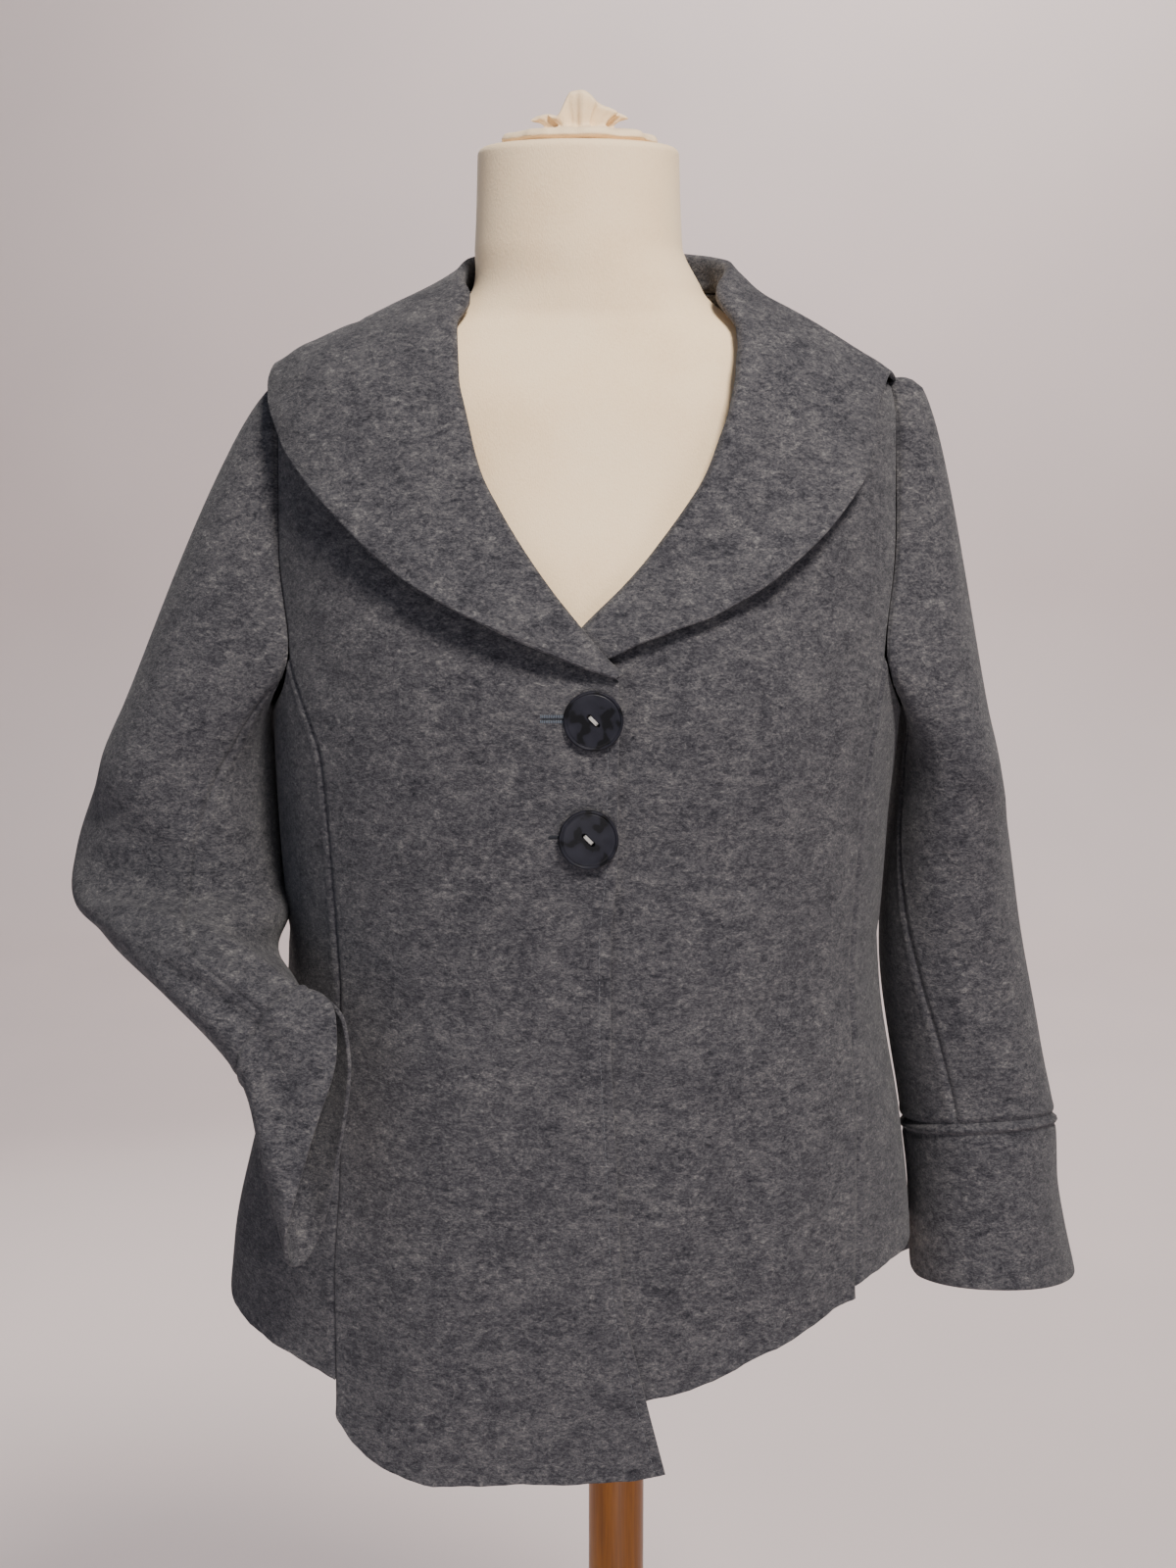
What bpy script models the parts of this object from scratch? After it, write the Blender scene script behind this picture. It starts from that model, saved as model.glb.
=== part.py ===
"""Shawl collar jacket in boiled wool, on a limbless dress form with a wooden pole and a round foot.

Metres, +Z up, the jacket faces -Y. The origin is on the floor, on the axis of the pole.
The jacket's own measures are taken from its centre line, which hangs a little to one side of the pole.
An angle round the body starts at the centre front and grows towards the wearer's left side:
0 is the front, 90 the left side, 180 the centre back and 270 the right side.
Every cloth piece is a wall of one thickness round a middle surface, parted from the next by a seam gap.
"""
import math

import bmesh
import bpy
import numpy as np

# Driving dimensions
WALL = 0.0025
SEAM_GAP = 0.0003
CENTRE_X = -0.020
HALF_GAP = SEAM_GAP / 2 + 0.00005

BREAK_HEIGHT = 1.1765
SHOULDER_HEIGHT = 1.357
NECK_HEIGHT = 1.4015
SIDE_LEVEL = 0.86

TUCK_DEEP = 0.0076
TUCK_PLAIN = 0.0040
COLLAR_FOLD = 0.0055
COLLAR_FOLD_TUCKED = 0.0042
LEFT_SHOULDER_DROP = 0.006

BUTTON_RADIUS = 0.0178
BUTTON_THICKNESS = 0.0045
BUTTON_HOLE_RADIUS = 0.0016
BUTTON_HOLE_OFFSET = 0.0034
BUTTON_HOLE_TURN = math.radians(-45)
BUTTON_SPOTS = {"button_upper": (0.0036, 1.154, -0.0010), "button_lower": (0.0008, 1.084, 0.0006)}

CUFF_SLIT_ANGLE = 176.0
CUFF_CORNER = 0.030
CUFF_CORNER_DEPTH = 0.8
FLAP_SPREAD = 0.009

POLE_RADIUS = 0.019
BASE_RADIUS = 0.190
BASE_EDGE = 0.014
BASE_BOSS_RADIUS = 0.034
BASE_BOSS_TOP = 0.052
FORM_BOTTOM = 0.800
FORM_TOP = 1.500
FORM_CLEARANCE = 0.0008

WOOL = ("boiled_wool", (0.155, 0.158, 0.168), 0.95)
COVER = ("cream_jersey", (0.66, 0.57, 0.46), 0.85)
WOOD = ("varnished_wood", (0.32, 0.13, 0.04), 0.35)
HORN = ("dark_button", (0.035, 0.040, 0.055), 0.35)


def table(columns, rows):
    """Rows of numbers under named columns, as one array for each column."""
    names = columns.split()
    return {name: np.array([row[i] for row in rows], float) for i, name in enumerate(names)}


OVAL_COLUMNS = ("half_width", "front_depth", "back_depth", "square")

BODY = table("height half_width front_depth back_depth sway square", [
    (0.660, 0.2310, 0.168, 0.158, -0.0120, 2.3),
    (0.800, 0.2230, 0.166, 0.152, -0.0090, 2.3),
    (0.880, 0.2110, 0.162, 0.140, -0.0050, 2.3),
    (0.990, 0.1930, 0.157, 0.126, -0.0025, 2.3),
    (1.070, 0.1975, 0.155, 0.124, -0.0025, 2.3),
    (1.150, 0.2025, 0.152, 0.126, -0.0005, 2.3),
    (1.230, 0.2030, 0.134, 0.127, 0.0, 2.3),
    (1.290, 0.2000, 0.113, 0.122, 0.0, 2.3),
    (1.335, 0.1970, 0.092, 0.108, 0.0, 2.25),
    (1.357, 0.1935, 0.078, 0.096, 0.0, 2.2),
    (1.370, 0.1720, 0.070, 0.086, 0.0, 2.15),
    (1.384, 0.1380, 0.062, 0.077, 0.0, 2.1),
    (1.398, 0.1020, 0.057, 0.070, 0.002, 2.0),
    (1.412, 0.0840, 0.055, 0.064, 0.004, 2.0),
    (1.460, 0.0855, 0.058, 0.062, 0.005, 2.0),
])

FORM = table("height half_width front_depth back_depth square sway", [
    (0.800, 0.168, 0.120, 0.125, 2.2, 0.0),
    (0.880, 0.160, 0.118, 0.118, 2.2, 0.0),
    (0.980, 0.128, 0.104, 0.090, 2.2, 0.0),
    (1.060, 0.140, 0.124, 0.098, 2.2, 0.0),
    (1.140, 0.158, 0.140, 0.108, 2.2, 0.0),
    (1.220, 0.166, 0.120, 0.114, 2.2, 0.0),
    (1.290, 0.172, 0.090, 0.108, 2.2, 0.0),
    (1.340, 0.176, 0.074, 0.092, 2.2, 0.0),
    (1.370, 0.170, 0.060, 0.080, 2.1, 0.0),
    (1.384, 0.130, 0.054, 0.070, 2.0, 0.0),
    (1.398, 0.088, 0.050, 0.060, 2.0, 0.0),
    (1.412, 0.0735, 0.050, 0.057, 2.0, 0.0),
    (1.440, 0.0660, 0.052, 0.056, 2.0, -0.0055),
    (1.500, 0.0636, 0.054, 0.057, 2.0, -0.0056),
])

FOLDS = table("angle width depth top bottom", [
    (20.0, 11.0, -0.0045, 1.02, 0.74),
    (70.0, 10.0, 0.0040, 0.95, 0.82),
    (150.0, 13.0, 0.0060, 0.98, 0.76),
    (180.0, 12.0, -0.0050, 0.98, 0.76),
    (212.0, 13.0, 0.0065, 0.98, 0.76),
    (288.0, 10.0, 0.0050, 0.95, 0.80),
    (318.0, 9.0, -0.0040, 1.00, 0.74),
    (338.0, 9.0, 0.0035, 1.00, 0.72),
])

FRONT_SEAM = table("height right left", [
    (0.660, 36.0, 46.0),
    (0.850, 41.0, 52.0),
    (1.000, 49.0, 58.0),
    (1.110, 50.0, 58.0),
    (1.185, 64.0, 64.0),
])
BACK_SEAM = table("height angle", [
    (0.660, 120.0),
    (0.990, 116.0),
    (1.185, 112.0),
])

ARMHOLE = table("around angle height", [
    (0.0, 90.0, 1.357),
    (40.0, 80.0, 1.325),
    (80.0, 72.0, 1.255),
    (125.0, 64.0, 1.185),
    (155.0, 76.0, 1.156),
    (180.0, 90.0, 1.149),
    (210.0, 103.0, 1.158),
    (235.0, 112.0, 1.185),
    (280.0, 107.0, 1.255),
    (320.0, 99.0, 1.325),
    (360.0, 90.0, 1.357),
])
FRONT_CORNER = 125.0
BACK_CORNER = 235.0

RIGHT_EDGE = table("height across", [
    (0.660, 0.0500),
    (0.700, 0.0480),
    (0.740, 0.0370),
    (0.766, 0.0250),
    (0.850, 0.0200),
    (0.910, 0.0170),
    (1.000, 0.0140),
    (1.085, 0.0190),
    (1.180, 0.0190),
])
LEFT_EDGE = table("height across", [
    (0.660, -0.0260),
    (0.900, -0.0200),
    (1.180, -0.0180),
])

HEMS = {
    "right_front": table("share height", [(0.0, 0.688), (0.3, 0.684), (0.6, 0.682), (0.85, 0.692), (1.0, 0.716)]),
    "left_front": table("share height", [(0.0, 0.724), (0.35, 0.740), (0.65, 0.762), (0.9, 0.781), (1.0, 0.783)]),
    "right_side_panel": table("share height", [(0.0, 0.738), (0.35, 0.758), (0.7, 0.786), (1.0, 0.784)]),
    "left_side_panel": table("share height", [(0.0, 0.791), (0.35, 0.803), (0.7, 0.806), (1.0, 0.786)]),
    "back": table("share height", [(0.0, 0.782), (0.2, 0.748), (0.5, 0.722), (0.8, 0.748), (1.0, 0.780)]),
}

# Roll line and outer edge of the collar, from the wearer's left tip round the neck to the right tip.
# A turn of 0 is the left front, 1 the back and 2 the right front.
COLLAR = table("turn roll_x roll_height edge_x edge_height stand lift", [
    (0, -0.0180, 1.1800, -0.0150, 1.1775, 0.0010, 0.0),
    (0, -0.0080, 1.1970, 0.0080, 1.1880, 0.0060, 0.0020),
    (0, 0.0060, 1.2130, 0.0350, 1.1990, 0.0100, 0.0060),
    (0, 0.0240, 1.2310, 0.0700, 1.2110, 0.0120, 0.0075),
    (0, 0.0495, 1.2600, 0.1120, 1.2360, 0.0130, 0.0065),
    (0, 0.0735, 1.2940, 0.1490, 1.2720, 0.0140, 0.0040),
    (0, 0.0905, 1.3410, 0.1690, 1.3080, 0.0150, 0.0022),
    (0, 0.0940, 1.3620, 0.1720, 1.3230, 0.0165, 0.0020),
    (0, 0.0945, 1.3850, 0.1750, 1.3380, 0.0180, 0.0020),
    (0, 0.0900, 1.4250, 0.1860, 1.3590, 0.0260, 0.0025),
    (1, 0.0560, 1.4360, 0.1700, 1.3400, 0.0290, 0.0025),
    (1, 0.0300, 1.4400, 0.1000, 1.3030, 0.0300, 0.0022),
    (1, 0.0, 1.4410, 0.0, 1.2900, 0.0300, 0.0020),
    (1, -0.0300, 1.4400, -0.1000, 1.3030, 0.0300, 0.0020),
    (1, -0.0560, 1.4360, -0.1720, 1.3380, 0.0290, 0.0010),
    (2, -0.0790, 1.4190, -0.1970, 1.3590, 0.0260, 0.0045),
    (2, -0.0830, 1.3860, -0.1910, 1.3420, 0.0180, 0.0050),
    (2, -0.0820, 1.3640, -0.1865, 1.3295, 0.0165, 0.0060),
    (2, -0.0772, 1.3350, -0.1810, 1.3150, 0.0150, 0.0065),
    (2, -0.0652, 1.2940, -0.1520, 1.2760, 0.0140, 0.0070),
    (2, -0.0430, 1.2540, -0.1040, 1.2310, 0.0130, 0.0075),
    (2, -0.0098, 1.2090, -0.0480, 1.1990, 0.0100, 0.0070),
    (2, 0.0085, 1.1880, -0.0020, 1.1830, 0.0050, 0.0035),
    (2, 0.0190, 1.1790, 0.0165, 1.1776, 0.0010, 0.0),
])
COLLAR_RELEASE = 2.0
CHEST_RADIUS = 0.2
STAND_LIMIT = 0.5
STATIONS_PER_ROW = 2
LAST_ROW = len(COLLAR["turn"]) - 1
STATIONS = np.linspace(0, LAST_ROW, LAST_ROW * STATIONS_PER_ROW + 1)
SHOULDER_ROW = {"left": 9, "right": 15}

SLEEVE_HEAD = {
    "right": {"top": (0.100, 0.0, -0.050), "front": (0.075, 0.018, -0.030),
              "bottom": (0.012, 0.0, -0.040), "back": (0.075, -0.018, -0.030)},
    "left": {"top": (0.080, 0.0, 0.070), "front": (0.056, 0.018, -0.040),
             "bottom": (0.008, 0.0, -0.040), "back": (0.060, -0.018, -0.040)},
}

# Rings of each sleeve: the centre, the half axis to the outer side and the half axis to the front.
# A drop above 0 narrows the ring on its inner side, so that it is shaped like a drop.
RING_COLUMNS = "x y z outer_x outer_y outer_z front_x front_y front_z seam drop"
RIGHT_RINGS = table(RING_COLUMNS, [
    (-0.2548, 0.003, 1.128, -0.0482, 0.000, 0.014, 0.000, -0.074, 0.000, 122, 0.0),
    (-0.2620, -0.003, 1.082, -0.0580, 0.007, 0.012, -0.006, -0.068, -0.004, 110, 0.0),
    (-0.2690, -0.011, 1.043, -0.0670, 0.021, 0.009, -0.004, -0.058, 0.000, 106, 0.0),
    (-0.2640, -0.035, 1.019, -0.0670, 0.019, -0.001, -0.008, -0.054, 0.010, 106, 0.0),
    (-0.2490, -0.071, 1.002, -0.0480, 0.013, -0.003, -0.011, -0.054, 0.016, 106, 0.0),
    (-0.2210, -0.110, 0.9855, -0.0260, 0.002, -0.0145, -0.022, -0.044, 0.020, 106, 0.1),
    (-0.1880, -0.148, 0.961, -0.0160, -0.004, -0.027, -0.012, -0.032, 0.016, 106, 0.3),
    (-0.1700, -0.166, 0.934, -0.0170, -0.008, -0.050, -0.012, -0.024, 0.008, 106, 0.5),
    (-0.1560, -0.182, 0.900, -0.0160, -0.010, -0.067, -0.013, -0.017, 0.002, 106, 0.7),
])
LEFT_RINGS = table(RING_COLUMNS, [
    (0.2340, 0.006, 1.125, 0.0275, 0.000, 0.012, 0.000, -0.076, 0.000, 163, 0.0),
    (0.2380, 0.010, 1.060, 0.0370, 0.000, 0.008, 0.000, -0.070, 0.002, 154, 0.0),
    (0.2430, 0.010, 0.985, 0.0450, 0.000, 0.006, 0.000, -0.064, 0.006, 129, 0.0),
    (0.2535, 0.006, 0.920, 0.0475, 0.000, 0.004, 0.000, -0.060, 0.009, 117, 0.0),
    (0.2625, 0.000, 0.869, 0.0490, 0.000, 0.003, 0.000, -0.057, 0.011, 113, 0.0),
    (0.2670, -0.004, 0.820, 0.0490, 0.000, 0.001, -0.001, -0.060, 0.010, 113, 0.0),
    (0.2720, -0.008, 0.765, 0.0560, 0.000, -0.001, -0.004, -0.065, 0.007, 113, 0.0),
])
RINGS = {"right": RIGHT_RINGS, "left": LEFT_RINGS}
CUFF_ROW = {"right": 7, "left": 5}
CUFF_ROWS = 2
ROW_GAP = 0.006
HEAD_EASE = 0.8
ARMHOLE_SEAM = 140.0
BACK_SLEEVE_SEAM = 235.0
RING_SQUARE = 2.3


def smooth(knots, values, at):
    """Cubic curve through the rows of a table that never overshoots them; values may be whole rings."""
    at = np.asarray(at, float)
    values = np.asarray(values, float)
    extra = (1,) * (values.ndim - 1)
    step = np.diff(knots).reshape((-1,) + extra)
    slope = np.diff(values, axis=0) / step
    before, after = slope[:-1], slope[1:]
    same = before * after > 0
    inner = np.where(same, 2 * before * after / np.where(same, before + after, 1), 0)
    tangent = np.concatenate([slope[:1], inner, slope[-1:]])
    return hermite(knots, values, tangent, at)


def hermite(knots, values, tangent, at):
    """Cubic curve through values with the given tangents, read at any places."""
    knots = np.asarray(knots, float)
    span = np.clip(np.searchsorted(knots, at, side="right") - 1, 0, len(knots) - 2)
    length = knots[span + 1] - knots[span]
    t = np.clip((at - knots[span]) / length, 0, 1)
    shape = t.shape + (1,) * (values.ndim - 1)
    t = t.reshape(shape)
    length = length.reshape(shape)
    return (values[span] * (2 * t**3 - 3 * t**2 + 1) + tangent[span] * length * (t**3 - 2 * t**2 + t)
            + values[span + 1] * (3 * t**2 - 2 * t**3) + tangent[span + 1] * length * (t**3 - t**2))


def column(rows, name, at, knots="height"):
    """One column of a table, read smoothly at any height."""
    at = np.asarray(at, float)
    return smooth(rows[knots], rows[name], at.ravel()).reshape(at.shape)


def ramp(low, high, value):
    """Soft step from 0 at low to 1 at high."""
    t = np.clip((np.asarray(value, float) - low) / (high - low), 0, 1)
    return t * t * (3 - 2 * t)


def unit(vectors):
    return vectors / np.linalg.norm(vectors, axis=-1, keepdims=True)


def oval(angle, half_width, front_depth, back_depth, square):
    """Point of a horizontal section: a squared oval with its own depth in front and behind."""
    s = np.sin(np.radians(angle))
    c = np.cos(np.radians(angle))
    x = half_width * np.sign(s) * np.abs(s) ** (2 / square)
    y = -np.where(c > 0, front_depth, back_depth) * np.sign(c) * np.abs(c) ** (2 / square)
    return x, y


def fold_depth(angle, height):
    """Sum of the skirt's soft folds: bell-shaped across, growing from top to bottom."""
    total = np.zeros(np.broadcast(angle, height).shape)
    for middle, width, depth, top, bottom in zip(*FOLDS.values()):
        across = (np.asarray(angle) - middle + 180) % 360 - 180
        total = total + depth * np.exp(-(across / width) ** 2) * ramp(top, bottom, height)
    return total


def shoulder_drop(x, height):
    """How much lower the left shoulder hangs: nothing at the chest and the neck, all of it at the armhole."""
    return LEFT_SHOULDER_DROP * ramp(0.125, 0.185, x) * ramp(1.27, SHOULDER_HEIGHT, height)


def body(angle, height):
    """Middle surface of the jacket's body, before any piece is lapped over another."""
    angle, height = np.broadcast_arrays(np.asarray(angle, float), np.asarray(height, float))
    x, y = oval(angle, *(column(BODY, name, height) for name in OVAL_COLUMNS))
    fold = fold_depth(angle, height)
    x = x + column(BODY, "sway", height) + fold * np.sin(np.radians(angle))
    y = y - fold * np.cos(np.radians(angle))
    return np.stack([x + CENTRE_X, y, height - shoulder_drop(x, height)], axis=-1)


def outward(angle, height):
    """Unit normal of the body's surface, from its slopes round and up."""
    around = body(angle + 0.5, height) - body(angle - 0.5, height)
    up = body(angle, height + 0.001) - body(angle, height - 0.001)
    return unit(np.cross(around, up))


def on_body(angle, height, lift):
    """Point at a distance from the body's surface."""
    return body(angle, height) + outward(angle, height) * np.asarray(lift)[..., None]


def reach(angle, height, distance):
    """The angle that covers a distance round the body."""
    around = body(angle + 0.5, height) - body(angle - 0.5, height)
    return distance / np.linalg.norm(around, axis=-1)


def front_angle(across, height):
    """Angle of a point of the front that lies across metres from the centre line."""
    ratio = (across - column(BODY, "sway", height)) / column(BODY, "half_width", height)
    power = column(BODY, "square", height) / 2
    return np.degrees(np.arcsin(np.clip(np.sign(ratio) * np.abs(ratio) ** power, -1, 1)))


def tuck(angle, height):
    """How far the left front and the left end of the collar lie inside, under the right front."""
    turned = (np.asarray(angle) + 180) % 360 - 180
    across = body(turned, height)[..., 0] - CENTRE_X
    depth = TUCK_PLAIN + (TUCK_DEEP - TUCK_PLAIN) * ramp(1.11, 1.15, height)
    edge = column(RIGHT_EDGE, "across", height)
    return -depth * (1 - ramp(0.007, 0.047, across - edge)) * (np.abs(turned) < 60)


def armhole(around, side):
    """Angle and height of the armhole seam; around starts at the shoulder and runs down the front."""
    around = np.asarray(around, float) % 360
    angle = smooth(ARMHOLE["around"], ARMHOLE["angle"], around)
    height = smooth(ARMHOLE["around"], ARMHOLE["height"], around)
    return (angle if side == "left" else 360 - angle), height


def armhole_angle(height, low, high):
    """Angle of one side of the armhole at a height, on the left side of the body."""
    around = np.linspace(low, high, 200)
    angle, level = armhole(around, "left")
    order = np.argsort(level)
    return np.interp(height, level[order], angle[order])


def front_border(height, side):
    """Angle of the front's outer border: side-front seam, armhole, then the shoulder seam."""
    corner = ARMHOLE["height"][3]
    seam = column(FRONT_SEAM, side, np.clip(height, 0, corner))
    hole = armhole_angle(height, 0, FRONT_CORNER)
    return np.where(height < corner, seam, np.where(height < SHOULDER_HEIGHT, hole, 90.0))


def back_border(height):
    """Angle of the back's border: side-back seam, armhole, then the shoulder seam."""
    corner = ARMHOLE["height"][7]
    seam = column(BACK_SEAM, "angle", np.clip(height, 0, corner))
    hole = armhole_angle(height, BACK_CORNER, 359.99)
    return np.where(height < corner, seam, np.where(height < SHOULDER_HEIGHT, hole, 90.0))


def collar_lines(places):
    """Angle and height of the collar's roll line, outer edge and neck seam, and the lift of its edge."""
    knots = np.arange(len(COLLAR["turn"]), dtype=float)
    turn = COLLAR["turn"]
    sign = np.where(turn == 1, -1, 1)
    lines = {}
    for line in ("roll", "edge"):
        heights = COLLAR[line + "_height"]
        angles = turn * 180 + sign * front_angle(COLLAR[line + "_x"], heights)
        lines[line] = (smooth(knots, angles, places), smooth(knots, heights, places))
    stand = smooth(knots, COLLAR["stand"], places)
    turned = np.radians(lines["edge"][0] - lines["roll"][0]) * CHEST_RADIUS
    length = np.hypot(turned, lines["edge"][1] - lines["roll"][1])
    share = np.minimum(stand / length, STAND_LIMIT)
    lines["lift"] = smooth(knots, COLLAR["lift"], places)
    lines["neck"] = tuple(r + (e - r) * share for r, e in zip(lines["roll"], lines["edge"]))
    return lines


def neck_seam(side):
    """The neck seam of one front as angle and height, from the break point to the shoulder."""
    places = STATIONS[STATIONS <= SHOULDER_ROW["left"]]
    if side == "right":
        places = STATIONS[STATIONS >= SHOULDER_ROW["right"]][::-1]
    angle, height = collar_lines(places)["neck"]
    return (angle if side == "left" else 360 - angle), height


def front_start(height, side):
    """Angle of a front's inner border: the front edge, then the neck seam."""
    edge = LEFT_EDGE if side == "left" else RIGHT_EDGE
    across = column(edge, "across", np.minimum(height, BREAK_HEIGHT))
    straight = front_angle(across, np.minimum(height, BREAK_HEIGHT))
    straight = straight if side == "left" else -straight
    angle, level = neck_seam(side)
    neck = np.interp(height, level, angle)
    return np.where(height < BREAK_HEIGHT + 0.003, straight, np.maximum(straight, neck))


def spread(breaks, counts):
    """Levels between break heights, a count of steps for each stretch."""
    runs = [np.linspace(a, b, n, endpoint=False) for a, b, n in zip(breaks, breaks[1:], counts)]
    return np.append(np.concatenate(runs), breaks[-1])


SEAM_LEVELS = spread([SIDE_LEVEL, BREAK_HEIGHT, ARMHOLE["height"][3]], [6, 1])
FRONT_SHARES = np.linspace(0, 1, 11)
SIDE_SHARES = np.linspace(0, 1, 8)
BACK_SHARES = np.linspace(0, 1, 21)
HEM_ROWS = 3
SHOULDER_ROWS = 4


def panel_grid(hem, share, levels, top=None):
    """Heights of a panel's grid: the lowest rows bend to the hem, the highest to the top border."""
    bottom = smooth(hem["share"], hem["height"], share)
    steps = np.arange(HEM_ROWS)[:, None] / HEM_ROWS
    low = bottom + (levels[0] - bottom) * steps
    high = np.repeat(levels[:, None], len(share), axis=1)
    if top is not None:
        rise = ramp(levels[0], levels[-1], high)
        high = high + (top - levels[-1])[None, :] * rise
    return np.vstack([low, high])


def across_panel(left, right, share, height):
    """Angles of a grid between two borders, each drawn back by half the seam gap."""
    left = left + reach(left, height, HALF_GAP)
    right = right - reach(right, height, HALF_GAP)
    return left + (right - left) * share


def front_panel(side):
    """Angles and heights of a front: below the break its rows are level, above it they fan to the neck seam."""
    share = FRONT_SHARES
    low = panel_grid(HEMS[side + "_front"], share, SEAM_LEVELS[:-1])
    neck = neck_seam(side)[1][1:]
    steps = [len(neck) - 1 - SHOULDER_ROWS, SHOULDER_ROWS]
    outer = spread([ARMHOLE["height"][3], SHOULDER_HEIGHT, neck[-1] - 0.001], steps)
    high = neck[:, None] * (1 - share) + outer[:, None] * share
    height = np.vstack([low, high])
    inner = front_start(height, side) + reach(front_start(height, side), height, HALF_GAP)
    outer = front_border(height, side)
    angle = across_panel(inner, outer, share, height)
    return angle if side == "left" else 360 - angle, height


def on_panel(name, side, angle, height, lift):
    """A cloth piece on the body's surface; a right-hand grid is turned to run the same way round."""
    order = slice(None) if side == "left" else slice(None, None, -1)
    angle, height, lift = angle[:, order], height[:, order], lift[:, order]
    cloth(name, on_body(angle, height, lift), outward(angle, height))


def fronts():
    for side in ("right", "left"):
        angle, height = front_panel(side)
        lift = tuck(angle, height) if side == "left" else np.zeros(height.shape)
        on_panel(side + "_front", side, angle, height, lift)


def side_panels():
    """Each side panel runs from the side-front seam to the side-back seam, hem to underarm."""
    share = SIDE_SHARES
    corners = armhole(np.array([FRONT_CORNER, BACK_CORNER]), "left")
    top = armhole(FRONT_CORNER + (BACK_CORNER - FRONT_CORNER) * share, "left")[1] - SEAM_GAP
    for side in ("right", "left"):
        height = panel_grid(HEMS[side + "_side_panel"], share, SEAM_LEVELS, top)
        front = front_border(np.minimum(height, corners[1][0] - SEAM_GAP), side)
        back = back_border(np.minimum(height, corners[1][1] - SEAM_GAP))
        angle = across_panel(front, back, share, height)
        angle = angle if side == "left" else 360 - angle
        on_panel(side + "_side_panel", side, angle, height, np.zeros(height.shape))


def back_panel():
    """One piece, from side-back seam to side-back seam, up to the shoulders and the neck."""
    share = BACK_SHARES
    upper = spread([ARMHOLE["height"][7], SHOULDER_HEIGHT, NECK_HEIGHT], [6, SHOULDER_ROWS])
    levels = np.append(SEAM_LEVELS[:-1], upper)
    height = panel_grid(HEMS["back"], share, levels)
    border = back_border(height)
    angle = across_panel(border, 360 - border, share, height)
    neck_angle, neck_height = collar_lines(np.linspace(8.5, 15.5, 300))["neck"]
    limit = np.interp(angle, neck_angle, neck_height) - 5 * SEAM_GAP
    lift = ramp(SHOULDER_HEIGHT, levels[-1], height)
    height = np.minimum(height + (limit - levels[-1]) * lift, limit)
    on_panel("back", "left", angle, height, np.zeros(height.shape))


def collar():
    """One wall: the stand on the neck, a half-round fold at the roll line, and the wide fall."""
    lines = collar_lines(STATIONS)
    is_left = (STATIONS < LAST_ROW / 2)[:, None]
    fold = COLLAR_FOLD * np.ones_like(STATIONS)
    tucked = tuck(*lines["roll"]) * is_left[:, 0] / TUCK_DEEP
    fold = fold + (COLLAR_FOLD - COLLAR_FOLD_TUCKED) * tucked

    def between(share, start, stop, lift):
        angle = start[0][:, None] + (stop[0] - start[0])[:, None] * share
        height = start[1][:, None] + (stop[1] - start[1])[:, None] * share
        return on_body(angle, height, lift + tuck(angle, height) * is_left)

    stand = between(np.linspace(0, 1, 4), lines["neck"], lines["roll"], 0.0)
    root = stand[:, -1]
    upward = unit(root - stand[:, -2])
    normal = outward(*lines["roll"])
    turn = np.radians([45, 90, 135])[None, :, None]
    centre = root + normal * fold[:, None] / 2
    bend = centre[:, None] + fold[:, None, None] / 2 * (
        upward[:, None] * np.sin(turn) - normal[:, None] * np.cos(turn))
    share = np.linspace(0, 1, 9)
    free = ramp(COLLAR_FOLD_TUCKED, COLLAR_FOLD, fold)[:, None]
    fall = between(share, lines["neck"], lines["edge"], fold[:, None] + lines["lift"][:, None] * share * free)
    rise = root + normal * fold[:, None] - fall[:, 0]
    fall = fall + rise[:, None] * ((1 - share) ** COLLAR_RELEASE)[None, :, None]
    middle = np.swapaxes(np.concatenate([stand, bend, fall], axis=1)[:, ::-1], 0, 1)
    facing = grid_normal(middle)
    facing[-1] = -outward(*lines["neck"])
    cloth("collar", middle, facing)


def squared(angle):
    """Cosine and sine of a ring angle, drawn out to a squared oval."""
    c, s = np.cos(np.radians(angle)), np.sin(np.radians(angle))
    power = 2 / RING_SQUARE
    return np.sign(c) * np.abs(c) ** power, np.sign(s) * np.abs(s) ** power


def rings(rows, around):
    """Points of every ring of a table at the given ring angles."""
    centre = np.stack([rows["x"] + CENTRE_X, rows["y"], rows["z"]], axis=-1)[:, None]
    outer = np.stack([rows["outer_x"], rows["outer_y"], rows["outer_z"]], axis=-1)[:, None]
    front = np.stack([rows["front_x"], rows["front_y"], rows["front_z"]], axis=-1)[:, None]
    c, s = squared(around)
    narrowed = 1 + rows["drop"][:, None, None] * (np.cos(np.radians(around))[None, :, None] - 1) / 2
    return centre + outer * c[None, :, None] + front * s[None, :, None] * narrowed


def armhole_ring(around, side):
    """First ring of a sleeve: on the edge at the shoulder, outside the body at the underarm."""
    angle, height = armhole(around, side)
    under = ramp(-0.2, -1.0, np.cos(np.radians(around)))
    across = np.abs(np.sin(np.radians(around)))
    lift = 0.0004 + 0.0014 * across + 0.0030 * under
    point = on_body(angle, height, np.minimum(lift, 0.0034))
    outside = 1.0 if side == "left" else -1.0
    point[..., 0] += outside * 0.0012 * ramp(0.2, 1.0, np.cos(np.radians(around)))
    return point


def head_tangent(around, side):
    """Direction in which the sleeve leaves the armhole, mixed from four named directions."""
    c, s = np.cos(np.radians(around)), np.sin(np.radians(around))
    weights = {"top": np.maximum(c, 0), "bottom": np.maximum(-c, 0),
               "front": np.maximum(s, 0), "back": np.maximum(-s, 0)}
    mirror = 1.0 if side == "left" else -1.0
    total = 0
    for name, (out, fore, up) in SLEEVE_HEAD[side].items():
        total = total + weights[name][:, None] ** 2 * np.array([out * mirror, -fore, up])
    return total


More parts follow.
